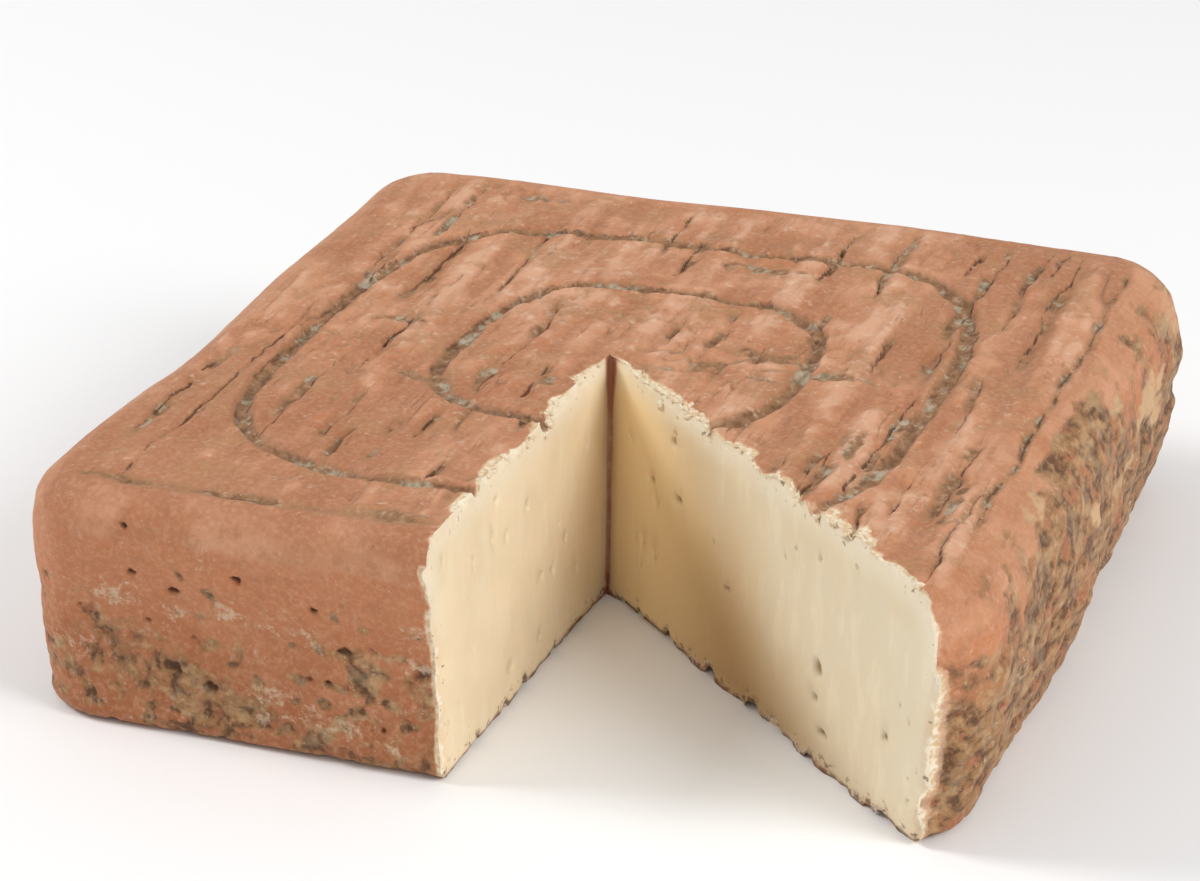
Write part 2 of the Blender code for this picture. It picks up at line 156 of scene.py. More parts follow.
def slumped(points):
    """The place in the soft block of a point of the plain square block."""
    x, y, z = points.T
    reach = np.maximum(np.maximum(abs(x), abs(y)), 1e-6)
    bulge_share = soft_step(*BULGE_FADE, x / HALF)
    upper = z > HEIGHT / 2
    radius = np.where(upper, shoulder_radius(x, y), FOOT_RADIUS)
    edge, gap = round_off(HALF - reach, np.where(upper, HEIGHT - z, z), radius)
    z = np.where(upper, HEIGHT - gap, gap)
    x, y = x * (HALF - edge) / reach, y * (HALF - edge) / reach
    share = z / HEIGHT
    front_right = FRONT_RIGHT_RADIUS_AT_FOOT * (1 - share) + FRONT_RIGHT_RADIUS_AT_TOP * share
    core = HALF - np.where((x > 0) & (y < 0), front_right, CORNER_RADIUS)
    a, b = abs(x) - core, abs(y) - core
    corner = (a > 0) & (b > 0)
    shrink = np.maximum(a, b) / np.maximum(np.hypot(a, b), 1e-9)
    x = np.where(corner, np.copysign(core + a * shrink, x), x)
    y = np.where(corner, np.copysign(core + b * shrink, y), y)
    x = x * (1 + side_offset(z, x / HALF, "left", "right") / HALF)
    y = y * (1 + side_offset(z, y / HALF, "front", "back") / HALF)
    bulge = BULGE * np.exp(-(((y - BULGE_AT) / BULGE_HALF_LENGTH) ** 2))
    x = x + bulge * bulge_share * (1 - soft_step(*BULGE_FADE, share))
    return np.column_stack((x, y, z))


plain = footprint(along, inward, upward)
place = slumped(plain)

# Which way the rind faces over each point, and how near the point is to it: 1 in the rind, 0 deep inside
toward = np.column_stack((
    np.sign(plain[:, :2]) * np.maximum(abs(plain[:, :2]) - (HALF - SKIN_DEPTH), 0),
    np.maximum(plain[:, 2] - (HEIGHT - SKIN_DEPTH), 0) - np.maximum(SKIN_DEPTH - plain[:, 2], 0),
))
nearness = np.clip(abs(toward).max(axis=1) / SKIN_DEPTH, 0, 1)
outward = toward / np.maximum(np.linalg.norm(toward, axis=1), 1e-9)[:, None]

# The swell of the soft block and the crags of its sides, as in the solid. The crags are deepest low down and
# on the right side.
SWELL, SWELL_PITCH = 0.0012, 0.045
CRAG_DEPTH, CRAG_PITCH, CRAG_OFFSET = 0.0014, 0.0085, Vector((3.1, 7.7, 1.3))
swell = SWELL * (np.array([noise.noise(Vector(p) / SWELL_PITCH) for p in place]) - 0.5)
crags = CRAG_DEPTH * np.array([noise.noise(Vector(p) / CRAG_PITCH + CRAG_OFFSET) for p in place])
crags *= (1 - abs(outward[:, 2])) * (0.45 + 0.55 * soft_step(0.5, 0.9, outward[:, 0]))
crags *= 1 - 0.6 * soft_step(0.45, 0.85, upward)
free = soft_step(0.0, 0.10, upward) * soft_step(0.0, 1.0, nearness)
place = place + outward * (free * (swell + crags))[:, None]
place[:, :2] -= (place[:, :2].min(axis=0) + place[:, :2].max(axis=0)) / 2


def cut_distance(points, end):
    """How far points are inside the cheese from a cut: end 1 is the left cut, end 2 the right cut."""
    share = points[:, 2:] / HEIGHT
    apex = np.array(CUT_AT_FOOT[0]) * (1 - share) + np.array(CUT_AT_TOP[0]) * share
    tip = np.array(CUT_AT_FOOT[end]) * (1 - share) + np.array(CUT_AT_TOP[end]) * share
    run = (tip - apex) / np.linalg.norm(tip - apex, axis=1)[:, None]
    into = np.column_stack((run[:, 1], -run[:, 0])) * (1 if end == 1 else -1)
    offset = points[:, :2] - apex
    return (offset * into).sum(axis=1), (offset * run).sum(axis=1), into


# The cut faces are set back on the knife's straight cuts, and what is next to them follows
left_gap, left_run, left_into = cut_distance(place, 1)
right_gap, right_run, right_into = cut_distance(place, 2)
gap = np.where(first_half, left_gap, right_gap)
run = np.where(first_half, left_run, right_run)
into = np.where(first_half[:, None], left_into, right_into)
place[on_cut, :2] -= (into * gap[:, None])[on_cut]
gap[on_cut] = 0.0
gap = np.maximum(gap, 0.0)

# Noise for every kind of unevenness in the rind: a shuffled table of slopes, one to each corner of a grid
TABLE_SIZE, TO_FULL_RANGE = 256, 1.6
chance = random.Random(11)
order = list(range(TABLE_SIZE))
chance.shuffle(order)
scatter = np.array(order + order)
slopes = np.array([[chance.gauss(0, 1) for _ in range(3)] for _ in range(TABLE_SIZE)])
slopes /= np.linalg.norm(slopes, axis=1)[:, None]


def grain(points, pitch, offset=0.0):
    """Smooth noise from about -1 to 1. The pitch may differ along x, y and z."""
    spot = points / np.asarray(pitch) + offset
    cell = np.floor(spot).astype(int)
    part = spot - cell
    ease = part ** 3 * (part * (part * 6 - 15) + 10)
    total = np.zeros(len(points))
    for corner in np.ndindex(2, 2, 2):
        key = (cell + corner) & (TABLE_SIZE - 1)
        slope = slopes[scatter[scatter[scatter[key[:, 0]] + key[:, 1]] + key[:, 2]]]
        share = np.where(corner, ease, 1 - ease).prod(axis=1)
        total += share * ((part - corner) * slope).sum(axis=1)
    return total * TO_FULL_RANGE


# The top skin: how squarely a point faces up, from 0 on the shoulder to 1
TOP_SKIN = 0.006
flat_top = soft_step(HALF - 0.3 * SKIN_DEPTH, HALF - 1.2 * SKIN_DEPTH, abs(plain[:, :2]).max(axis=1))
facing_up = flat_top * soft_step(HEIGHT - TOP_SKIN, HEIGHT, plain[:, 2])
top = np.flatnonzero(facing_up > 0)
x, y = place[top, 0], place[top, 1]
flat_spot = place[top] * (1, 1, 0)
dug, raised, hollow_top, dark_top = (np.zeros(len(top)) for _ in range(4))

# Two rounded square rims of the press plate, as (middle x, middle y, half width, squareness): a flat bottom
# between steep walls, a low lip along each edge, and painted shade, dark where a wall meets the bottom
RIMS = ((-0.0030, -0.0035, 0.0680, 4.0), (-0.0020, 0.0010, 0.0370, 3.0))
RIM_HALF_WIDTH, RIM_DEPTH, RIM_UNEVENNESS, RIM_NOISE_STEP = 0.0021, 0.0017, 0.03, 0.0024
RIM_WAVER, LIP_HEIGHT = 0.0005, 0.00025
patchy = grain(flat_spot, 0.0075, 9.1)
for middle_x, middle_y, half, square in RIMS:
    u, v = abs(x - middle_x) / half, abs(y - middle_y) / half
    level = np.maximum(u ** square + v ** square, 1e-9) ** (1 / square)
    near = np.flatnonzero(abs(level - 1) < 0.2)
    c = np.copysign(u[near] ** (square / 2) / level[near] ** (square / 2), x[near] - middle_x)
    s = np.copysign(v[near] ** (square / 2) / level[near] ** (square / 2), y[near] - middle_y)
    uneven = np.array([noise.noise(Vector((2 * p, 2 * q, half / RIM_NOISE_STEP))) for p, q in zip(c, s)])
    steep = level[near] ** (1 - square) * np.hypot(u[near] ** (square - 1), v[near] ** (square - 1)) / half
    signed = (level[near] - 1 - RIM_UNEVENNESS * uneven) / steep
    signed += RIM_WAVER * grain(flat_spot[near], 0.0045, 6.6)
    width = RIM_HALF_WIDTH * (1 + 0.30 * grain(flat_spot[near], 0.009, 2.2))
    bottom = 1 - soft_step(0.35 * width, 1.25 * width, abs(signed))
    strength = np.clip(0.85 + 0.45 * patchy[near], 0.45, 1.0)
    dug[near] = np.maximum(dug[near], RIM_DEPTH * bottom * strength)
    lip = np.exp(-((abs(signed) - 1.6 * width) / (0.5 * width)) ** 2)
    raised[near] = np.maximum(raised[near], LIP_HEIGHT * lip)
    hollow_top[near] = np.maximum(hollow_top[near], bottom * strength)
    # Painted shade: the rim darkens where each wall meets the bottom
    wall_foot_shade = np.exp(-((signed - 0.75 * width) / 0.00045) ** 2)
    wall_foot_shade += 0.6 * np.exp(-((signed + 0.8 * width) / 0.0004) ** 2)
    broken = soft_step(-0.35, 0.35, grain(flat_spot[near], 0.006, 4.8))
    dark_top[near] = np.maximum(dark_top[near], 0.75 * wall_foot_shade * broken)

# The reed mat's marks, all along Y, as (x, first y, last y, half width): shallow wandering troughs, each with
# a thin crack beside it, then short scratches whose first y, x, length, half width and strength are random
TOP_LINES = (
    (-0.061, -0.06, -0.025, 0.0016), (-0.06, 0.014, 0.06, 0.0013), (-0.048, -0.058, -0.034, 0.0011),
    (-0.034, -0.064, -0.044, 0.0013), (-0.026, -0.028, 0.024, 0.0014), (-0.008, 0.044, 0.08, 0.0014),
    (0.012, 0.006, 0.03, 0.0013), (0.0375, 0.044, 0.086, 0.0014), (0.043, -0.044, -0.019, 0.0018),
    (0.053, -0.057, -0.024, 0.002), (0.0585, 0.01, 0.086, 0.0016), (0.0605, -0.056, 0.002, 0.0015),
    (0.0715, -0.021, 0.012, 0.0013), (0.0765, 0.02, 0.084, 0.0018), (0.0775, -0.056, -0.015, 0.0018),
    (-0.076, -0.087, 0.007, 0.0006), (-0.067, -0.063, -0.043, 0.0007), (-0.029, -0.052, -0.03, 0.0009),
    (-0.0225, -0.049, -0.033, 0.0008), (-0.015, -0.028, -0.009, 0.0009), (0.0496, -0.052, -0.033, 0.001),
    (0.038, -0.049, -0.021, 0.001), (0.084, -0.085, -0.035, 0.0007), (0.054, 0.064, 0.082, 0.0009),
    (0.071, 0.069, 0.084, 0.0008), (-0.042, 0.02, 0.07, 0.0009), (-0.074, 0.03, 0.08, 0.0008),
    (0.024, 0.052, 0.084, 0.001), (0.002, 0.01, 0.034, 0.0009), (-0.015, 0.056, 0.086, 0.0008),
    (0.07, -0.056, -0.038, 0.0008), (0.048, 0.006, 0.03, 0.0009), (0.031, 0.012, 0.038, 0.0009),
    (0.0313, -0.038, -0.019, 0.0027), (0.0653, -0.068, -0.054, 0.0012), (0.0187, -0.025, -0.014, 0.001),
    (0.068, 0.038, 0.087, 0.0012), (-0.01, -0.044, -0.03, 0.0012), (-0.011, -0.08, -0.064, 0.001),
    (-0.083, -0.07, -0.02, 0.0014), (-0.072, -0.03, 0.04, 0.0013), (-0.053, -0.024, 0.008, 0.0011),
    (-0.043, -0.064, -0.048, 0.0012), (-0.019, -0.074, -0.056, 0.0011), (-0.068, 0.05, 0.086, 0.0012),
)
SCRATCHES = 110
SCRATCH_RANGES = ((-0.088, 0.080), (-0.086, 0.090), (0.004, 0.016), (0.0003, 0.0007), (0.20, 0.60))
TROUGH_DEPTH, CRACK_DEPTH, CRACK_HALF_WIDTH = 0.0012, 0.0005, 0.00045
FULL_TROUGH, FULL_CRACK, FULL_MOULD = 0.0012, 0.0008, 0.0011
WANDER, WAVER, LONG_LINE = 0.0012, 0.0004, 0.03
reeds = [(*line, 1.0) for line in TOP_LINES]
for _ in range(SCRATCHES):
    start, line_x, length, half_width, strength = (chance.uniform(*ends) for ends in SCRATCH_RANGES)
    reeds.append((line_x, start, start + length, half_width, strength))
for number, (line_x, start, stop, half_width, strength) in enumerate(reeds):
    near = np.flatnonzero((abs(x - line_x) < 0.006) & (y > start - 0.010) & (y < stop + 0.010))
    travel = np.column_stack((np.full(len(near), 3.7 * number), y[near], 0.3 * x[near]))
    signed = x[near] - line_x + WANDER * grain(travel, (1, 0.013, 0.013))
    signed += WAVER * grain(travel, (1, 0.004, 0.004), 5.0)
    width = half_width * np.clip(1 + 0.6 * grain(travel, (1, 0.007, 0.02), 9.0), 0.3, 1.6)
    fade = 0.25 * min(stop - start, 0.040)
    taper = soft_step(start - fade, start + fade, y[near])
    taper *= 1 - soft_step(stop - fade, stop + fade, y[near])
    faintest = 0.65 if stop - start > LONG_LINE else 0.15
    taper *= np.clip(0.75 + 0.9 * grain(travel, (1, 0.009, 0.03), 17.0), faintest, 1.0)
    mouldy = 0.30 + 0.70 * soft_step(-0.25, 0.15, grain(travel, (1, 0.007, 0.03), 31.0))
    trough = (1 - soft_step(0.10 * width, 1.60 * width, abs(signed))) * taper * strength
    beside = signed + (0.6 if number % 2 else -0.6) * width
    crack = (1 - soft_step(0.3 * CRACK_HALF_WIDTH, CRACK_HALF_WIDTH, abs(beside))) * taper * strength
    crack *= soft_step(-0.55, 0.05, grain(travel, (1, 0.006, 0.02), 14.0))
    deep = TROUGH_DEPTH * min(1.0, half_width / FULL_TROUGH) * trough
    deep += CRACK_DEPTH * crack * min(1.0, half_width / FULL_CRACK)
    dug[near] = np.maximum(dug[near], deep)
    hollow_top[near] = np.maximum(hollow_top[near], trough * mouldy * min(1.0, half_width / FULL_MOULD))
    dark_top[near] = np.maximum(dark_top[near], crack)

# Two long creases inside the right and front shoulders, as (start, end, half width), with a low fold beside
# each of them
CREASES = (((0.0865, -0.0600), (0.0870, 0.0840), 0.0012), ((-0.0850, -0.0880), (-0.0060, -0.0885), 0.0026))
CREASE_DEPTH, FOLD_HEIGHT, FOLD_AWAY, FOLD_HALF_WIDTH = 0.0011, 0.0005, 0.0028, 0.0016
drift = 0.0012 * grain(flat_spot, (0.030, 0.012, 1.0), 5.3) + 0.0004 * grain(flat_spot, 0.0045, 2.6)
for start, stop, half_width in CREASES:
    start, stop = np.array(start), np.array(stop)
    length = np.linalg.norm(stop - start)
    way = (stop - start) / length
    travel = (flat_spot[:, :2] - start) @ way
    signed = (flat_spot[:, 0] - start[0]) * way[1] - (flat_spot[:, 1] - start[1]) * way[0] + drift
    taper = soft_step(-0.004, 0.008, travel) * (1 - soft_step(length - 0.010, length + 0.002, travel))
    bottom = (1 - soft_step(0.2 * half_width, 1.3 * half_width, abs(signed))) * taper
    dug = np.maximum(dug, CREASE_DEPTH * bottom * np.clip(0.75 + 0.6 * patchy, 0.3, 1.0))
    fold = np.exp(-((signed - FOLD_AWAY) / FOLD_HALF_WIDTH) ** 2)
    raised = np.maximum(raised, FOLD_HEIGHT * taper * fold)
    hollow_top = np.maximum(hollow_top, 0.85 * bottom * (0.55 + 0.45 * soft_step(-0.2, 0.3, patchy)))
    crack = taper * (1 - soft_step(0.0001, 0.0006, abs(signed)))
    dark_top = np.maximum(dark_top, crack * (0.55 + 0.35 * soft_step(-0.4, 0.2, patchy)))

# Blotches of mould on the open rind, as (x, y, half length along x, half length along y)
BLOTCHES = (
    (-0.08, -0.088, 0.0085, 0.0018), (-0.06, -0.0893, 0.005, 0.0014), (-0.018, -0.0872, 0.008, 0.0036),
    (0.081, -0.048, 0.0016, 0.011), (0.056, -0.03, 0.0014, 0.008), (0.024, 0.01, 0.009, 0.0022),
    (0.043, 0.002, 0.011, 0.002), (-0.04, -0.023, 0.005, 0.002), (-0.014, -0.018, 0.003, 0.004),
    (-0.056, 0.004, 0.006, 0.0022), (0.01, 0.056, 0.01, 0.0024), (-0.052, 0.08, 0.008, 0.002),
)
BLOTCH_DEPTH, BLOTCH_MOULD = 0.00040, 0.75
for middle_x, middle_y, half_x, half_y in BLOTCHES:
    reach = np.hypot((x - middle_x) / half_x, (y - middle_y) / half_y)
    reach += 0.9 * grain(flat_spot, 0.0030, middle_x)
    blotch = 1 - soft_step(0.30, 1.30, reach)
    dug = np.maximum(dug, BLOTCH_DEPTH * blotch)
    hollow_top = np.maximum(hollow_top, BLOTCH_MOULD * blotch)

# The rind between the marks: low ridges and hair lines along the reeds, wrinkles behind the portion's tip,
# and lumps, buckles, pimples and crumpled patches all over
RIDGE, HAIR_LINE, VALLEY, WRINKLE = 0.00090, 0.00024, 0.00030, 0.0011
LUMP, BUCKLE, PIMPLE, CRUMPLE = 0.00034, 0.00026, 0.00012, 0.0013
WRINKLES_AT, WRINKLES_REACH = (0.018, 0.005), 0.017
ridges = grain(flat_spot, (0.0068, 0.070, 1.0), 1.9)
finer = grain(flat_spot, (0.0030, 0.034, 1.0), 3.7)
rightward = 0.70 + 0.30 * soft_step(0.015, 0.055, x)
valley = soft_step(0.05, 0.45, grain(flat_spot, (0.010, 0.024, 1.0), 8.8))
valley *= 1 - soft_step(0.0, 0.17, abs(finer))
lumps = grain(flat_spot, (0.0080, 0.0110, 1.0), 23.0)
near_tip = np.exp(-(np.hypot(0.6 * (x - WRINKLES_AT[0]), y - WRINKLES_AT[1]) / WRINKLES_REACH) ** 2)
wrinkle = near_tip * (grain(flat_spot, (0.0130, 0.0042, 1.0), 2.7) + 0.45 * grain(flat_spot, 0.0028, 6.7))
dug *= 1 + 0.8 * (1 - soft_step(0.0, 0.004, gap[top]))
relief = dug - raised + rightward * (RIDGE * ridges + HAIR_LINE * finer) + VALLEY * valley + WRINKLE * wrinkle
folds = abs(grain(flat_spot, (0.0060, 0.0085, 1.0), 43.0))
folds += 0.6 * abs(grain(flat_spot, (0.0030, 0.0045, 1.0), 47.0))
crumpled = soft_step(-0.10, 0.35, grain(flat_spot, (0.028, 0.034, 1.0), 41.0)) * np.clip(0.45 - folds, 0, 1)
buckled = grain(flat_spot, (0.0036, 0.0056, 1.0), 53.0)
pimples = grain(flat_spot, 0.0022, 29.0)
relief += LUMP * lumps + BUCKLE * buckled + PIMPLE * pimples + CRUMPLE * crumpled

# Its tone and painted shade, from dark at 0 to pale at 1: paler on the crests of the ridges, hair lines,
# lumps, buckles and crumples and darker in the lows between them, as painted highlight and shade; darker at
# the back right, as painted shade in the troughs there; darker at the front left and along the front crest
left_front = soft_step(0.030, -0.050, x) * soft_step(0.020, -0.060, y)
back_right = soft_step(0.045, 0.060, x) * (1 - soft_step(0.080, 0.087, x)) * soft_step(-0.030, 0.030, y)
tone_and_shade_top = 0.5 - 0.7 * rightward * ridges - 0.25 * finer - 0.30 * lumps - 0.35 * crumpled - 0.38 * left_front
tone_and_shade_top -= 0.30 * buckled + 0.40 * back_right
hollow_top = np.maximum(hollow_top, 0.62 * soft_step(0.05, 0.5, wrinkle))
hollow_top = np.maximum(hollow_top, 0.50 * soft_step(0.22, 0.45, crumpled))
dark_top = np.maximum(dark_top, 0.50 * valley)
shift = np.zeros((len(place), 3))
shift[top, 2] = relief * facing_up[top]
hollow, dark, crust, flake = (np.zeros(len(place)) for _ in range(4))
tone_and_shade = np.full(len(place), 0.5)
tone_and_shade[top] += (tone_and_shade_top - 0.5) * facing_up[top]
front_crest = soft_step(-0.080, -0.090, place[:, 1]) * soft_step(0.047, 0.053, place[:, 2])
tone_and_shade -= 0.38 * front_crest * soft_step(0.010, -0.010, place[:, 0]) * (0.8 + 0.8 * grain(place, 0.009, 61.0))
hollow[top], dark[top] = hollow_top * facing_up[top], dark_top * facing_up[top]

# The sides: the right one is a flaky crust below a wavy border, the others are smoother, with crusty patches
# low down. The front's patches are (x, z, half length, half height, strength).
FRONT_PATCHES = (
    (-0.064, 0.014, 0.016, 0.0085, 1.0), (-0.05, 0.009, 0.01, 0.006, 0.9),
    (-0.024, 0.0225, 0.0055, 0.008, 0.8), (-0.077, 0.018, 0.012, 0.01, 0.6),
    (-0.011, 0.02, 0.004, 0.009, 0.7), (-0.016, 0.006, 0.011, 0.0035, 0.6),
    (-0.035, 0.006, 0.008, 0.003, 0.6),
)
CRUST_RELIEF, SIDE_LUMPS, SIDE_GRAIN, SIDE_DRAW = 0.00060, 0.00022, 0.00012, 0.00015
upright = np.clip(1 - abs(outward[:, 2]), 0, 1) * soft_step(0, 1, nearness)
sides = np.flatnonzero(upright > 0.02)
skin, stand = place[sides], upright[sides]
facing_right = soft_step(0.30, 0.75, outward[sides, 0])
border = 0.72 + 0.24 * np.exp(-((skin[:, 1] + 0.012) / 0.035) ** 2)
border -= 0.30 * np.exp(-((skin[:, 1] + 0.095) / 0.022) ** 2)
border += 0.22 * grain(skin, (0.03, 0.024, 0.05), 4.4) + 0.18 * grain(skin, 0.008, 1.2)
above_border = skin[:, 2] / HEIGHT - border
flaky = soft_step(0.30, -0.22, above_border) * facing_right
speckled = soft_step(0.10, 0.50, grain(skin, (0.0040, 0.0060, 0.0040), 71.0) + 0.10)
flaky = np.maximum(flaky, 0.75 * speckled * soft_step(0.50, 0.05, above_border) * facing_right)
crusty = soft_step(0.25, 0.60, grain(skin, (0.016, 0.016, 0.009), 12.5) + 0.30 - 0.9 * skin[:, 2] / HEIGHT)
facing_front = soft_step(0.3, 0.7, -outward[sides, 1])
crusty *= 1 - 0.6 * facing_front
low_down = 0.42 - 1.1 * skin[:, 2] / HEIGHT + 0.40 * grain(skin, 0.018, 46.0)
crusty = np.maximum(crusty, soft_step(0.10, 0.55, grain(skin, (0.0044, 0.0044, 0.0034), 44.0) + low_down))
for middle_x, middle_z, half_x, half_z, strength in FRONT_PATCHES:
    reach = np.hypot((skin[:, 0] - middle_x) / half_x, (skin[:, 2] - middle_z) / half_z)
    reach += 0.6 * grain(skin, 0.0048, middle_x)
    crusty = np.maximum(crusty, strength * facing_front * (1 - soft_step(0.35, 1.15, reach)))
crust[sides] = soft_step(0.0, 0.35, stand) * np.maximum(flaky, 0.88 * crusty * (1 - facing_right))
bark = grain(skin, (0.0040, 0.0095, 0.0042), 6.1) + 0.8 * grain(skin, (0.0019, 0.0042, 0.0022), 7.7)
flake[sides] = bark
unevenness = SIDE_LUMPS * grain(skin, (0.011, 0.011, 0.007), 2.9) + SIDE_GRAIN * grain(skin, 0.0035, 4.1)
side_relief = crust[sides] * CRUST_RELIEF * np.clip(0.35 - bark, -0.2, 1.2) + stand * (unevenness + SIDE_DRAW)

# Whitish flecks: a chain across the front, as (x, z, half length, half height), and loose patches low on
# every side
FRONT_FLECKS = (
    (-0.076, 0.031, 0.007, 0.003), (-0.064, 0.029, 0.004, 0.0025), (-0.052, 0.031, 0.004, 0.003),
    (-0.04, 0.029, 0.01, 0.0016), (-0.012, 0.033, 0.005, 0.0018), (-0.044, 0.0135, 0.006, 0.003),
    (-0.046, 0.008, 0.0022, 0.003), (-0.028, 0.009, 0.005, 0.0025), (-0.02, 0.006, 0.004, 0.002),
    (-0.012, 0.025, 0.005, 0.002),
)
loose_flecks = grain(skin, (0.013, 0.013, 0.007), 35.0) + 0.2 - 0.5 * skin[:, 2] / HEIGHT
fleck_zone = 0.6 * soft_step(0.25, 0.6, loose_flecks)
for middle_x, middle_z, half_x, half_z in FRONT_FLECKS:
    reach = np.hypot((skin[:, 0] - middle_x) / half_x, (skin[:, 2] - middle_z) / half_z)
    fleck_zone = np.maximum(fleck_zone, facing_front * (1 - soft_step(0.4, 1.3, reach)))
flecked = np.zeros(len(place))
flecked[sides] = stand * fleck_zone

# Pits: the front's own, as (x, z, radius), and small ones at random on every side, most of them low down
FRONT_PITS = (
    (-0.063, 0.034, 0.0013), (-0.085, 0.0268, 0.0011), (-0.07, 0.0256, 0.0011), (-0.06, 0.0232, 0.0013),
    (-0.066, 0.016, 0.0021), (-0.0715, 0.0372, 0.001), (-0.049, 0.0392, 0.0011), (-0.033, 0.0346, 0.001),
    (-0.0352, 0.0188, 0.0012), (-0.0575, 0.0128, 0.0016), (-0.0715, 0.048, 0.0009),
    (-0.0275, 0.026, 0.0016), (-0.0215, 0.027, 0.0012), (-0.0265, 0.0215, 0.0011), (-0.013, 0.023, 0.0012),
    (-0.02, 0.01, 0.0013),
)
PITS_A_SIDE, PIT_DEPTH, LOW_ON_THE_FRONT = 60, 0.0014, 0.022
pits = [((px, -HALF, pz), radius) for px, pz, radius in FRONT_PITS]
for facing in ((0, -1), (1, 0), (0, 1), (-1, 0)):
    for _ in range(PITS_A_SIDE):
        travel, height = chance.uniform(-0.088, 0.088), 0.003 + 0.042 * chance.random() ** 1.6
        spot = (facing[0] * HALF - facing[1] * travel, facing[1] * HALF + facing[0] * travel, height)
        radius = chance.uniform(0.0004, 0.0011)
        if facing != (0, -1) or height < LOW_ON_THE_FRONT:
            pits.append((spot, radius))
pitted = np.zeros(len(sides))
for spot, radius in pits:
    offset = skin - spot
    near = np.flatnonzero((abs(offset) < (0.010, 0.010, 0.004)).all(axis=1))
    into_side, level_way = (0, 1) if abs(spot[0]) > HALF - 1e-6 else (1, 0)
    offset = offset[near]
    offset[:, into_side] *= 0.2
    offset[:, level_way] *= 0.70
    offset[:, 2] += 0.25 * offset[:, level_way]
    reach = np.linalg.norm(offset, axis=1) / radius + 0.35 * grain(skin[near], 0.0012, 50.0)
    pitted[near] = np.maximum(pitted[near], 1 - soft_step(0.30, 1.10, reach))
side_relief += PIT_DEPTH * pitted * stand
shift[sides] += outward[sides] * side_relief[:, None]
dark[sides] = np.maximum(dark[sides], pitted * stand)

# The underside: the mat's grooves both ways, as (middle, half width, depth), which show as nicks along the
# foot of the cut faces
UNDER_ALONG_Y = (
    (-0.08, 0.0016, 0.0014), (-0.056, 0.0012, 0.0016), (-0.033, 0.0016, 0.0013), (0.013, 0.0014, 0.002),
    (0.027, 0.0018, 0.0026), (0.039, 0.0024, 0.0022), (0.056, 0.0014, 0.0018), (0.076, 0.0026, 0.002),
)
UNDER_ALONG_X = (
    (-0.074, 0.0014, 0.0016), (-0.05, 0.0018, 0.0022), (-0.033, 0.0012, 0.0018), (0.03, 0.0014, 0.0014),
    (0.062, 0.0016, 0.0016),
)
UNDERSIDE_SKIN, NICK_DEPTH, DEEP_GROOVE = 0.006, 0.0018, 0.0016
foot = np.flatnonzero(plain[:, 2] < UNDERSIDE_SKIN)
sole = place[foot] * (1, 1, 0)
drift = 0.0011 * grain(sole, (0.02, 0.013, 1.0), 5.3)
under = np.zeros(len(foot))
for axis, lines in ((0, UNDER_ALONG_Y), (1, UNDER_ALONG_X)):
    for middle, half_width, depth in lines:
        away = abs(sole[:, axis] + drift - middle)
        under = np.maximum(under, depth * (1 - soft_step(0.3 * half_width, 1.1 * half_width, away)))
under *= np.clip(1.05 + 0.5 * grain(sole, 0.012, 9.1), 0.3, 1.0)
near_cut = 1 - soft_step(0.0, 0.006, gap[foot])
under = np.maximum(under, NICK_DEPTH * near_cut * soft_step(0.30, 0.8, grain(sole, 0.0052, 21.0)))
under *= 1 - soft_step(0.0, UNDERSIDE_SKIN, plain[foot, 2])
under *= 0.3 + 0.7 * soft_step(0.002, 0.012, HALF - abs(plain[foot, :2]).max(axis=1) + 0.012 * near_cut)
hollow[foot] = np.maximum(hollow[foot], np.clip(under / DEEP_GROOVE, 0, 1))
shift[foot, 2] -= under
place = place - shift

# Torn edges: the knife drags the rind off in flakes, so paste shows beyond the cut, and the edge is crumbly.
# A bite reaches furthest along the top, and less down the sides and at the apex.
TORN_REACH, LEAST_BITE, RIND_THICKNESS, DEEPEST_CHIP = 0.008, 0.0010, 0.0003, 0.0016
beside_cut = np.where(run > 0, gap, np.hypot(gap, run))
edge_zone = np.flatnonzero(beside_cut < TORN_REACH)
bite = np.full(len(place), -1.0)
ragged_edge = 0.0036 * grain(place[edge_zone], 0.0085, 1.4) + 0.0016 * grain(place[edge_zone], 0.0036, 3.3)
ragged_edge += 0.0004 * grain(place[edge_zone], 0.0015, 5.1)
at_side = np.where(first_half[edge_zone], 0.22, 0.60)
high_up = soft_step(0.035, 0.050, plain[edge_zone, 2])
bite[edge_zone] = LEAST_BITE + ragged_edge * (at_side + (1 - at_side) * high_up)
bite[edge_zone] *= soft_step(0.001, 0.008, abs(run[edge_zone]))
to_outside = np.minimum(HEIGHT - plain[:, 2], np.where(first_half, plain[:, 1], -plain[:, 0]) + HALF)
depth_below = np.where(on_cut, np.minimum(to_outside, plain[:, 2]), 0.0)
torn = 1 - soft_step(-0.0003, 0.0008, beside_cut - bite)
torn *= soft_step(0.05, 0.25, nearness) * soft_step(0.001, 0.007, abs(run))
place -= outward * (RIND_THICKNESS * np.where(on_cut, 0.0, torn) * soft_step(0.02, 0.1, upward))[:, None]
chipped = np.clip(bite, 0, DEEPEST_CHIP) * (1 - soft_step(0.0, 0.0022, beside_cut + depth_below))
place[:, :2] += into * (0.75 * chipped)[:, None]

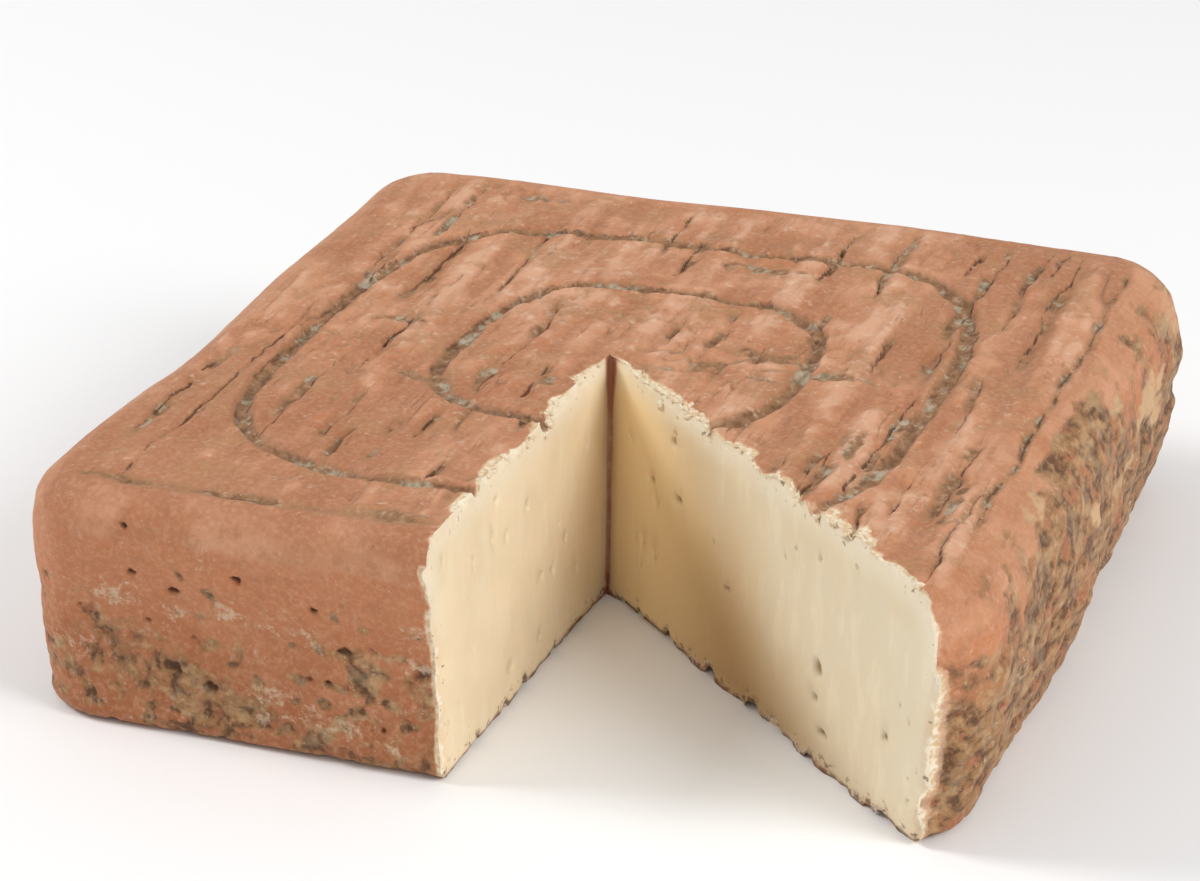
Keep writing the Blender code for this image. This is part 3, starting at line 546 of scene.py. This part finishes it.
# The cut faces: small eyes, as (distance from the apex, height, half width, half height), a few pinholes, and
# the faint drag of the knife
LEFT_EYES = ((0.045, 0.04, 0.0011, 0.001), (0.061, 0.048, 0.001, 0.0009), (0.054, 0.0085, 0.0016, 0.0008))
RIGHT_EYES = (
    (0.0185, 0.0335, 0.0017, 0.0009), (0.03, 0.0335, 0.0018, 0.0012), (0.028, 0.0455, 0.0013, 0.001),
    (0.0505, 0.0225, 0.0014, 0.0008), (0.086, 0.0212, 0.0017, 0.0023), (0.0852, 0.0146, 0.0012, 0.001),
    (0.1105, 0.018, 0.0012, 0.001), (0.088, 0.008, 0.002, 0.001),
)
EYE_DEPTH, FULL_EYE, PINHOLES_A_FACE = 0.0016, 0.001, 16
LEFT_LENGTH, RIGHT_LENGTH = 0.09, 0.125
dents = np.zeros(len(place))
for face, eyes, length in ((first_half, LEFT_EYES, LEFT_LENGTH), (~first_half, RIGHT_EYES, RIGHT_LENGTH)):
    picked = np.flatnonzero(on_cut & face)
    pinholes = [
        (chance.uniform(0.006, length), chance.uniform(0.005, 0.050), *[chance.uniform(0.0004, 0.0008)] * 2)
        for _ in range(PINHOLES_A_FACE)
    ]
    for distance, height, half_width, half_height in (*eyes, *pinholes):
        reach = np.hypot((run[picked] - distance) / half_width, (place[picked, 2] - height) / half_height)
        dent = (1 - soft_step(0.45, 1.15, reach)) * min(1.0, half_width / FULL_EYE)
        dents[picked] = np.maximum(dents[picked], dent)
interior = soft_step(0.0, 0.002, depth_below)
cut_points = np.flatnonzero(on_cut)
drag = np.zeros(len(place))
drag[cut_points] = 0.0001 + 0.00018 * grain(place[cut_points], (0.011, 0.011, 0.017), 7.1)
drag[cut_points] += 0.00006 * grain(place[cut_points], (0.0035, 0.0035, 0.006), 8.3)
place[:, :2] += into * (interior * (EYE_DEPTH * dents + np.clip(drag, 0, 1)))[:, None]


def new_object(name, data):
    """An object that holds a mesh, a lamp or a camera, linked to the scene."""
    holder = bpy.data.objects.new(name, data)
    bpy.context.scene.collection.objects.link(holder)
    return holder


# What the materials read at each point, with the lengths in millimetres
IN_MM = 1000
cheese_mesh.vertices.foreach_set("co", place.ravel())
for name, values in (
    ("hollow", np.where(on_cut, dents, hollow)), ("dark", dark), ("crust", crust), ("flake", flake),
    ("torn", torn), ("flecked", flecked), ("tone_and_shade", tone_and_shade), ("on_top", facing_up),
    ("under_rind", depth_below * IN_MM), ("above_foot", plain[:, 2] * IN_MM), ("from_apex", abs(run) * IN_MM),
    ("at_right", np.where(first_half, 0.0, 1.0)),
):
    cheese_mesh.attributes.new(name, "FLOAT", "POINT").data.foreach_set("value", values.astype(np.float32))
corners = np.empty(len(cheese_mesh.loops), dtype=int)
cheese_mesh.loops.foreach_get("vertex_index", corners)
cheese_mesh.polygons.foreach_set("material_index", on_cut[corners.reshape(-1, 4)].all(axis=1).astype(int))
cheese_mesh.update()
cheese = new_object("cheese_block", cheese_mesh)


def paint(red, green, blue):
    """A colour as the eye sees it, 0 to 255, in the renderer's linear light."""
    shares = [c / 255 for c in (red, green, blue)]
    return (*[s / 12.92 if s < 0.04045 else ((s + 0.055) / 1.055) ** 2.4 for s in shares], 1.0)


def new_material(name):
    """An empty material and its node tree."""
    material = bpy.data.materials.new(name)
    material.use_nodes = True
    return material, material.node_tree


def put(tree, kind, values, **settings):
    """Adds a node with its settings, and sets its inputs or wires them to other nodes' outputs."""
    node = tree.nodes.new(kind)
    for key, value in settings.items():
        setattr(node, key, value)
    for key, value in values.items():
        if isinstance(value, bpy.types.NodeSocket):
            tree.links.new(value, node.inputs[key])
        else:
            node.inputs[key].default_value = value
    return node


def mottle(tree, pitch, detail=2.0, rough=0.5, stretch=(1, 1, 1), offset=0.0):
    """Noise on the cheese's own coordinates, with one patch to each pitch, from 0 to 1."""
    spot = put(tree, "ShaderNodeTexCoord", {}).outputs["Object"]
    placing = {"Vector": spot, "Scale": [s / pitch for s in stretch], "Location": (offset,) * 3}
    spot = put(tree, "ShaderNodeMapping", placing).outputs[0]
    patches = {"Vector": spot, "Scale": 1.0, "Detail": detail, "Roughness": rough}
    return put(tree, "ShaderNodeTexNoise", patches).outputs[0]


def step(tree, value, low, high, top=1.0):
    """A soft step from 0, where the value is low, to top, where it is high."""
    values = {"Value": value, "From Min": low, "From Max": high, "To Max": top}
    return put(tree, "ShaderNodeMapRange", values, interpolation_type="SMOOTHSTEP").outputs[0]


def blend(tree, share, first, second):
    """The first colour where the share is 0, the second where it is 1."""
    return put(tree, "ShaderNodeMix", {0: share, 6: first, 7: second}, data_type="RGBA").outputs[2]


def coat(tree, under, colour, value, low, high, most=1.0):
    """Lays a colour over another, softly from nothing, where the value is low, to most, where it is high."""
    return blend(tree, step(tree, value, low, high, most), under, colour)


def work(tree, operation, first, second):
    """A sum on two values or sockets."""
    return put(tree, "ShaderNodeMath", {0: first, 1: second}, operation=operation).outputs[0]


def plus(tree, first, second):
    return work(tree, "ADD", first, second)


def times(tree, first, second):
    return work(tree, "MULTIPLY", first, second)


def stored(tree, name):
    """What the mesh holds under a name at each point."""
    return put(tree, "ShaderNodeAttribute", {}, attribute_name=name).outputs["Fac"]


def finish(tree, colour, height, bump, roughness, gloss=0.5):
    """Gives a material's shader its colour, its bump (strength, distance), its roughness and its gloss."""
    shader = tree.nodes["Principled BSDF"]
    tree.links.new(colour, shader.inputs["Base Color"])
    shader.inputs["Roughness"].default_value = roughness
    shader.inputs["Specular IOR Level"].default_value = gloss
    relief = put(tree, "ShaderNodeBump", {"Height": height, "Strength": bump[0], "Distance": bump[1]})
    tree.links.new(relief.outputs[0], shader.inputs["Normal"])


def soften(tree, share, reach, scale):
    """Lets light into a material, by its share, its reach in red, green and blue, and its depth in metres."""
    shader = tree.nodes["Principled BSDF"]
    shader.inputs["Subsurface Weight"].default_value = share
    shader.inputs["Subsurface Radius"].default_value = reach
    shader.inputs["Subsurface Scale"].default_value = scale


# The rind's finish: salmon pink with fine streaks along the reeds, painted highlight and shade on the top's
# crests and lows, redder sides with painted shade towards their foot, brown stain, painted shade and brown
# and grey mould in the hollows, dark cracks, a brown and tan crust on the right side and in patches low on
# the others, paste where flakes are torn off, and painted highlights as pale flecks on the top
PINK, DULL_PINK, SALMON = paint(196, 139, 103), paint(182, 121, 84), paint(208, 152, 119)
BLUSH_AND_HIGHLIGHT, RUSSET_AND_SHADE, STAIN = paint(224, 178, 148), paint(160, 104, 72), paint(172, 125, 86)
SIDE_PINK, SIDE_LOW_SHADE, SIDE_PALE = paint(187, 120, 80), paint(156, 93, 54), paint(196, 134, 96)
STREAK, HAIR, SPECK = paint(164, 110, 76), paint(128, 86, 58), paint(218, 170, 138)
rind, tree = new_material("washed_rind")
in_hollow, in_dark, in_crust, flake_height = (stored(tree, n) for n in ("hollow", "dark", "crust", "flake"))
is_torn, in_flecks, tone_and_shade, on_top, above_foot = (
    stored(tree, n) for n in ("torn", "flecked", "tone_and_shade", "on_top", "above_foot")
)
ragged = work(tree, "SUBTRACT", mottle(tree, 0.0020, 4.0, 0.7, offset=11.0), 0.5)
fine = mottle(tree, 0.0012, 2.0, 0.55, offset=2.0)
grit = mottle(tree, 0.0017, 3.0, 0.55, stretch=(1, 0.6, 0.9), offset=51.0)
patches = mottle(tree, 0.0080, 4.0, 0.6, offset=15.0)

colour = coat(tree, PINK, DULL_PINK, mottle(tree, 0.030, 3.0), 0.38, 0.62)
colour = coat(tree, colour, SALMON, mottle(tree, 0.011, 3.0, offset=4.0), 0.46, 0.66, 0.65)
# Painted highlight and shade: blush pink where the tone is high, on the crests, and russet where it is low
colour = coat(tree, colour, BLUSH_AND_HIGHLIGHT, tone_and_shade, 0.50, 0.85, 0.55)
colour = coat(tree, colour, RUSSET_AND_SHADE, tone_and_shade, 0.50, 0.10, 0.60)
stain = step(tree, mottle(tree, 0.014, 4.0, 0.65, offset=61.0), 0.52, 0.62, 0.7)
colour = blend(tree, times(tree, stain, on_top), colour, STAIN)
# Painted shade: the sides grow darker from about 40 mm down towards the foot
low_side_shade = step(tree, plus(tree, above_foot, times(tree, ragged, 14.0)), 40.0, 8.0)
side_colour = blend(tree, low_side_shade, SIDE_PINK, SIDE_LOW_SHADE)
side_colour = coat(tree, side_colour, SIDE_PALE, patches, 0.42, 0.66, 0.40)
band = plus(tree, above_foot, times(tree, patches, 4.0))
side_share = times(tree, step(tree, on_top, 0.5, 0.0), step(tree, band, 48.5, 45.5, 0.9))
colour = blend(tree, side_share, colour, side_colour)
streaks = mottle(tree, 0.0030, 3.0, 0.6, stretch=(1, 0.10, 1), offset=7.0)
colour = coat(tree, colour, STREAK, streaks, 0.46, 0.74, 0.50)
hairs = mottle(tree, 0.0012, 2.0, 0.5, stretch=(1, 0.08, 1), offset=27.0)
hair_share = times(tree, step(tree, hairs, 0.58, 0.74, 0.35), step(tree, patches, 0.40, 0.60))
colour = blend(tree, times(tree, hair_share, on_top), colour, HAIR)
colour = coat(tree, colour, SPECK, fine, 0.40, 0.75, 0.25)

# The crust's flakes: dark between them, tan to pale on them, partly by their height as painted shade and
# highlight, greyer, pinker or creamier by patch
BETWEEN_FLAKES, FLAKE, FLAKE_TIP = paint(90, 63, 40), paint(149, 110, 72), paint(179, 142, 100)
CRUST_GREY, CRUST_PINK, CRUST_STREAK, CREAM = (
    paint(148, 132, 106), paint(176, 110, 76), paint(194, 160, 118), paint(208, 172, 130)
)
flake_shade = plus(tree, times(tree, flake_height, 0.20), grit)
crust_colour = coat(tree, BETWEEN_FLAKES, FLAKE, flake_shade, 0.36, 0.56)
crust_colour = coat(tree, crust_colour, FLAKE_TIP, flake_shade, 0.56, 0.76)
crust_tint = mottle(tree, 0.0060, 4.0, 0.65, offset=23.0)
crust_colour = coat(tree, crust_colour, CRUST_GREY, crust_tint, 0.54, 0.64, 0.42)
crust_colour = coat(tree, crust_colour, CRUST_PINK, crust_tint, 0.48, 0.38, 0.65)
crust_streaks = mottle(tree, 0.0050, 3.0, 0.6, (1, 0.35, 0.9), 77.0)
crust_colour = coat(tree, crust_colour, CRUST_STREAK, crust_streaks, 0.52, 0.66, 0.50)
cream_patch = step(tree, mottle(tree, 0.015, 3.0, 0.5, (1, 0.6, 1.4), 71.0), 0.58, 0.66)
cream_patch = times(tree, cream_patch, step(tree, above_foot, 20.0, 30.0, 0.8))
crust_colour = blend(tree, cream_patch, crust_colour, CREAM)
crust_edge = plus(tree, work(tree, "SUBTRACT", grit, 0.5), work(tree, "SUBTRACT", patches, 0.5))
crust_edge = plus(tree, in_crust, times(tree, crust_edge, 1.2))
colour = coat(tree, colour, crust_colour, crust_edge, 0.22, 0.70, 0.92)

# Hollows: brown, part stain and part painted shade, rough with brown mould that is grey in patches; cracks
# and pits are darkest, and so are the feet of the rims' walls, as painted shade
HOLLOW_STAIN_AND_SHADE, MOULD_DARK, MOULD, MOULD_TIP = (
    paint(168, 122, 86), paint(112, 80, 52), paint(146, 108, 76), paint(176, 146, 114)
)
GREY_MOULD, GREY_TIP, CRACK_AND_SHADE_BROWN = paint(132, 116, 90), paint(178, 170, 148), paint(88, 58, 38)
hollow_edge = plus(tree, in_hollow, times(tree, ragged, 0.9))
mould_patches = mottle(tree, 0.0070, 4.0, 0.6, offset=83.0)
colour = coat(tree, colour, HOLLOW_STAIN_AND_SHADE, hollow_edge, 0.05, 0.40, 0.6)
mould_colour = coat(tree, MOULD_DARK, MOULD, grit, 0.32, 0.56)
mould_colour = coat(tree, mould_colour, MOULD_TIP, grit, 0.56, 0.74)
grey = coat(tree, GREY_MOULD, GREY_TIP, grit, 0.36, 0.62)
mould_colour = coat(tree, mould_colour, grey, mould_patches, 0.53, 0.60, 0.9)
colour = coat(tree, colour, mould_colour, hollow_edge, 0.30, 0.70, 0.92)
dark_edge = plus(tree, in_dark, times(tree, ragged, 0.8))
colour = coat(tree, colour, CRACK_AND_SHADE_BROWN, dark_edge, 0.25, 0.75, 0.85)

# Whitish flecks in patches on the sides, painted highlights as pale flecks on the top, a little more on its
# crests, and the paste beyond the torn edges
FLECK, FRAYED, PAINTED_HIGHLIGHT = paint(214, 188, 160), paint(220, 180, 148), paint(228, 198, 172)
TORN_DARK, TORN_PALE = paint(212, 182, 142), paint(236, 222, 194)
fleck_field = mottle(tree, 0.0016, 4.0, 0.7, offset=31.0)
fleck_zone = times(tree, mottle(tree, 0.012, 2.0, offset=33.0), 0.15)
fleck_zone = plus(tree, fleck_zone, times(tree, in_flecks, 0.18))
flecks = step(tree, plus(tree, fleck_field, fleck_zone), 0.68, 0.86, 0.65)
colour = blend(tree, flecks, colour, FLECK)
fray = plus(tree, is_torn, times(tree, ragged, 0.9))
colour = coat(tree, colour, FRAYED, fray, 0.02, 0.35, 0.6)
# Painted highlights: pale flecks on the top, a little more where the tone is high
painted_highlight = plus(tree, mottle(tree, 0.0022, 2.5, 0.6, offset=91.0), times(tree, tone_and_shade, 0.12))
painted_highlight = step(tree, painted_highlight, 0.62, 0.82, 0.40)
colour = blend(tree, times(tree, painted_highlight, on_top), colour, PAINTED_HIGHLIGHT)
torn_paste = coat(tree, TORN_DARK, TORN_PALE, fine, 0.35, 0.65)
colour = coat(tree, colour, torn_paste, fray, 0.40, 0.75)
height = plus(tree, times(tree, fine, 0.30), times(tree, streaks, 0.7))
rough_zone = plus(tree, work(tree, "MAXIMUM", in_crust, in_hollow), times(tree, flecks, 0.5))
height = plus(tree, height, times(tree, times(tree, grit, rough_zone), 0.6))
height = work(tree, "SUBTRACT", height, times(tree, hair_share, 0.8))
finish(tree, colour, height, (0.7, 0.0008), 0.60, 0.25)
soften(tree, 0.08, (1.0, 0.45, 0.25), 0.002)
cheese_mesh.materials.append(rind)

# The paste's finish: cream to ivory with the knife's smears, the left face's cream a lighter copy as painted
# light, painted shade in ochre over the inner and lower part of the right face and softly along the inner
# corner, painted light paler near the top, tan with paler lips under the rind, dark specks along the foot,
# and brown inside the eyes
LEFT_CREAM_PAINTED_LIGHT, RIGHT_CREAM, DULL_CREAM, SMEAR = (
    paint(239, 218, 184), paint(222, 208, 180), paint(222, 202, 168), paint(240, 226, 198)
)
DEEP_OCHRE_SHADE, PALE_OCHRE_SHADE, UNDER_RIND, LIP = (
    paint(170, 133, 85), paint(244, 214, 163), paint(214, 178, 138), paint(240, 228, 204)
)
SKIN_BROWN, TOP_PAINTED_LIGHT, FOOT_BROWN, SPECK_BROWN = (
    paint(176, 122, 90), paint(236, 226, 204), paint(112, 76, 52), paint(104, 78, 50)
)
PINHOLE, EYE, CORNER_SHADE, CORNER_LINE = (
    paint(128, 104, 66), paint(160, 128, 78), paint(150, 100, 62), paint(160, 88, 56)
)
paste, tree = new_material("cut_paste")
in_hollow, under_rind, from_apex, above_foot, at_right, is_torn = (
    stored(tree, n) for n in ("hollow", "under_rind", "from_apex", "above_foot", "at_right", "torn")
)
# Painted light: the left face's cream is a lighter, warmer copy of the right face's
cream = blend(tree, at_right, LEFT_CREAM_PAINTED_LIGHT, RIGHT_CREAM)
colour = coat(tree, cream, DULL_CREAM, mottle(tree, 0.022, 3.0), 0.35, 0.65, 0.6)
smears = mottle(tree, 0.0045, 4.0, 0.6, stretch=(1, 1, 0.30), offset=5.0)
colour = coat(tree, colour, SMEAR, smears, 0.50, 0.68, 0.35)
# Painted shade: ochre over the inner and lower part of the right face, deeper along the foot away from the
# apex and paler near it, and faintly on the left face
inner = plus(tree, from_apex, times(tree, above_foot, 1.15))
mostly_right = plus(tree, times(tree, at_right, 0.96), 0.04)
ochre_shade_share = times(tree, step(tree, inner, 118.0, 60.0, 0.95), mostly_right)
ochre_shade = coat(tree, DEEP_OCHRE_SHADE, PALE_OCHRE_SHADE, from_apex, 56.0, 8.0)
colour = blend(tree, ochre_shade_share, colour, ochre_shade)
ragged = times(tree, work(tree, "SUBTRACT", mottle(tree, 0.0020, 4.0, 0.7, offset=11.0), 0.5), 5.0)
skin_edge = plus(tree, under_rind, ragged)
colour = coat(tree, colour, UNDER_RIND, skin_edge, 3.2, 0.6, 0.35)
lip_zone = step(tree, mottle(tree, 0.009, 2.0, 0.5, offset=41.0), 0.46, 0.56)
colour = blend(tree, times(tree, step(tree, skin_edge, 1.5, 0.5), lip_zone), colour, LIP)
skin_line = times(tree, step(tree, skin_edge, 0.25, -0.45, 0.9), step(tree, is_torn, 0.6, 0.1))
colour = blend(tree, skin_line, colour, SKIN_BROWN)
# Painted light: paler cream in the upper part of the faces, within about 9 mm of the rind
top_painted_light = times(tree, step(tree, under_rind, 9.0, 1.0, 0.55), step(tree, above_foot, 25.0, 45.0))
colour = blend(tree, top_painted_light, colour, TOP_PAINTED_LIGHT)
foot_edge = plus(tree, above_foot, times(tree, ragged, 1.1))
colour = coat(tree, colour, FOOT_BROWN, foot_edge, 1.6, 0.2, 0.9)
specks = step(tree, mottle(tree, 0.0019, 3.0, 0.6, offset=57.0), 0.58, 0.66)
specks = times(tree, specks, step(tree, above_foot, 5.0, 1.5))
colour = blend(tree, times(tree, specks, 0.85), colour, SPECK_BROWN)
holes = step(tree, mottle(tree, 0.0017, 2.0, 0.5, offset=17.0), 0.66, 0.72)
holes = times(tree, holes, step(tree, under_rind, 5.0, 1.5))
colour = blend(tree, times(tree, holes, 0.75), colour, PINHOLE)
colour = coat(tree, colour, EYE, in_hollow, 0.25, 0.9, 0.8)
line_width = step(tree, plus(tree, above_foot, ragged), 38.0, 54.0, 1.6)
corner_edge = work(tree, "SUBTRACT", from_apex, line_width)
corner_edge = plus(tree, corner_edge, times(tree, ragged, 0.25))
colour = coat(tree, colour, CORNER_SHADE, from_apex, 5.0, 0.0, 0.35)
colour = coat(tree, colour, CORNER_LINE, corner_edge, 1.7, 0.3, 0.85)
height = plus(tree, smears, times(tree, mottle(tree, 0.0009, 3.0, 0.6, offset=9.0), 0.4))
finish(tree, colour, height, (0.35, 0.0005), 0.55, 0.35)
soften(tree, 0.20, (1.0, 0.7, 0.35), 0.003)
cheese_mesh.materials.append(paste)

# The finished block is thinned to fewer triangles, and kept a hair inside the solid's box
MOST_TRIANGLES, MARGIN = 197000, 1e-5
thin = cheese.modifiers.new("fewer_faces", "DECIMATE")
thin.ratio = MOST_TRIANGLES / (2 * len(cheese_mesh.polygons))
seen = cheese.evaluated_get(bpy.context.evaluated_depsgraph_get())
thinned = bpy.data.meshes.new_from_object(seen)
cheese.modifiers.clear()
cheese.data = thinned
bpy.data.meshes.remove(cheese_mesh)
thinned.name = "cheese_block"
low_corner, high_corner = (np.array(p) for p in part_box("cheese"))
low_corner, high_corner = low_corner + (MARGIN, MARGIN, 0), high_corner - MARGIN
place = np.empty(len(cheese.data.vertices) * 3)
cheese.data.vertices.foreach_get("co", place)
place = np.clip(place.reshape(-1, 3), low_corner, high_corner)
cheese.data.vertices.foreach_set("co", place.ravel())
cheese.data.shade_smooth()
cheese.data.set_sharp_from_angle(angle=math.radians(60))
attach(cheese, "root")
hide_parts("cheese")

# The crumbs: specks of soft paste that the knife left clinging along the torn edges. Each is a small uneven
# ball, sunk a little into what it clings to, and they are all one mesh.
CRUMBS, CRUMB_RADII, CRUMB_STRAY, CRUMB_SINK = 60, (0.0004, 0.0011), 0.0005, 0.45
CRUMB_STRETCH, CRUMB_UNEVENNESS = (0.7, 1.35), 0.55
cling = random.Random(23)
torn_share, top_share = (np.empty(len(cheese.data.vertices), dtype=np.float32) for _ in range(2))
cheese.data.attributes["torn"].data.foreach_get("value", torn_share)
cheese.data.attributes["on_top"].data.foreach_get("value", top_share)
perches = np.flatnonzero((torn_share > 0.4) & (top_share > 0.6)).tolist()
bm = bmesh.new()
for _ in range(CRUMBS):
    perch = Vector(place[cling.choice(perches)])
    radius = cling.uniform(*CRUMB_RADII) * cling.uniform(0.6, 1.0)
    stray_x, stray_y = (cling.uniform(-CRUMB_STRAY, CRUMB_STRAY) for _ in range(2))
    perch += Vector((stray_x, stray_y, -CRUMB_SINK * radius))
    crumb = bmesh.ops.create_icosphere(bm, subdivisions=2, radius=radius)["verts"]
    bmesh.ops.scale(bm, vec=[cling.uniform(*CRUMB_STRETCH) for _ in range(3)], verts=crumb)
    for v in crumb:
        v.co *= 1 + CRUMB_UNEVENNESS * noise.noise(v.co / radius * 0.9 + perch * IN_MM)
    bmesh.ops.translate(bm, vec=perch, verts=crumb)
for v in bm.verts:
    v.co = Vector(np.clip(v.co, low_corner, high_corner))
crumb_mesh = bpy.data.meshes.new("paste_crumbs")
bm.to_mesh(crumb_mesh)
bm.free()
crumbs = new_object("paste_crumbs", crumb_mesh)
CRUMB_DARK, CRUMB_PALE = paint(218, 190, 150), paint(240, 226, 200)
crumb_paste, tree = new_material("crumbled_paste")
speckle = mottle(tree, 0.0006, 3.0, 0.6, offset=13.0)
colour = coat(tree, CRUMB_DARK, CRUMB_PALE, speckle, 0.35, 0.65)
finish(tree, colour, speckle, (0.5, 0.0003), 0.65)
crumb_mesh.materials.append(crumb_paste)
crumb_mesh.shade_smooth()
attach(crumbs, "root")

# The floor: one plain, pale, matt sheet that the cheese lies on, flat and wide enough to fill the view. It
# isn't part of the object.
bm = bmesh.new()
bmesh.ops.create_grid(bm, x_segments=1, y_segments=1, size=4.0)
floor_mesh = bpy.data.meshes.new("floor")
bm.to_mesh(floor_mesh)
bm.free()
floor = new_object("floor", floor_mesh)
floor_paint, tree = new_material("pale_floor")
floor_shader = tree.nodes["Principled BSDF"]
floor_shader.inputs["Base Color"].default_value = (0.93, 0.93, 0.93, 1.0)
floor_shader.inputs["Roughness"].default_value = 0.9
floor_mesh.materials.append(floor_paint)

# The light: two large soft round lamps, one high at the left and a wider one at the right, both aimed at the
# cheese, and a plain white room round them that fills the shadows
AIM, ROOM_LIGHT = Vector((0, 0, 0.03)), 0.54
for name, where, size, power in (
    ("left_light", (-1.30, -0.25, 1.15), 0.60, 13.0),
    ("right_light", (1.30, -0.35, 0.95), 0.80, 14.0),
):
    lamp = bpy.data.lights.new(name, "AREA")
    lamp.shape = "DISK"
    lamp.size = size
    lamp.energy = power
    light = new_object(name, lamp)
    light.location = where
    light.rotation_euler = (AIM - Vector(where)).to_track_quat("-Z", "Y").to_euler()
room = bpy.data.worlds.new("pale_room")
room.use_nodes = True
room.node_tree.nodes["Background"].inputs["Color"].default_value = (1.0, 1.0, 1.0, 1.0)
room.node_tree.nodes["Background"].inputs["Strength"].default_value = ROOM_LIGHT
bpy.context.scene.world = room
bpy.context.scene.view_settings.view_transform = "Standard"

# The camera: a long lens from the front right and above, about 0.75 m away. Its focal length is in pixels of
# the photo's width.
TURN, LIFT, ROLL = math.radians(20.640), math.radians(24.584), math.radians(-0.8898)
DISTANCE, ASIDE, ABOVE, CUT_SHIFT = 0.75052, -0.00806, 0.03249, Vector((0, -0.00171, 0))
FOCAL_PIXELS, PHOTO_WIDTH, SENSOR_WIDTH = 3485.47, 1200, 36.0
back = Vector((math.sin(TURN) * math.cos(LIFT), -math.cos(TURN) * math.cos(LIFT), math.sin(LIFT)))
level_right = Vector((math.cos(TURN), math.sin(TURN), 0))
level_up = back.cross(level_right)
lens_right = level_right * math.cos(ROLL) + level_up * math.sin(ROLL)
lens_up = level_up * math.cos(ROLL) - level_right * math.sin(ROLL)
camera_data = bpy.data.cameras.new("camera")
camera_data.sensor_fit = "HORIZONTAL"
camera_data.sensor_width = SENSOR_WIDTH
camera_data.lens = FOCAL_PIXELS / PHOTO_WIDTH * SENSOR_WIDTH
camera_data.clip_start = 0.01
camera = new_object("camera", camera_data)
spot = lens_right * ASIDE + lens_up * ABOVE + back * DISTANCE + CUT_SHIFT
camera.matrix_world = Matrix.Translation(spot) @ Matrix((lens_right, lens_up, back)).transposed().to_4x4()
bpy.context.scene.camera = camera
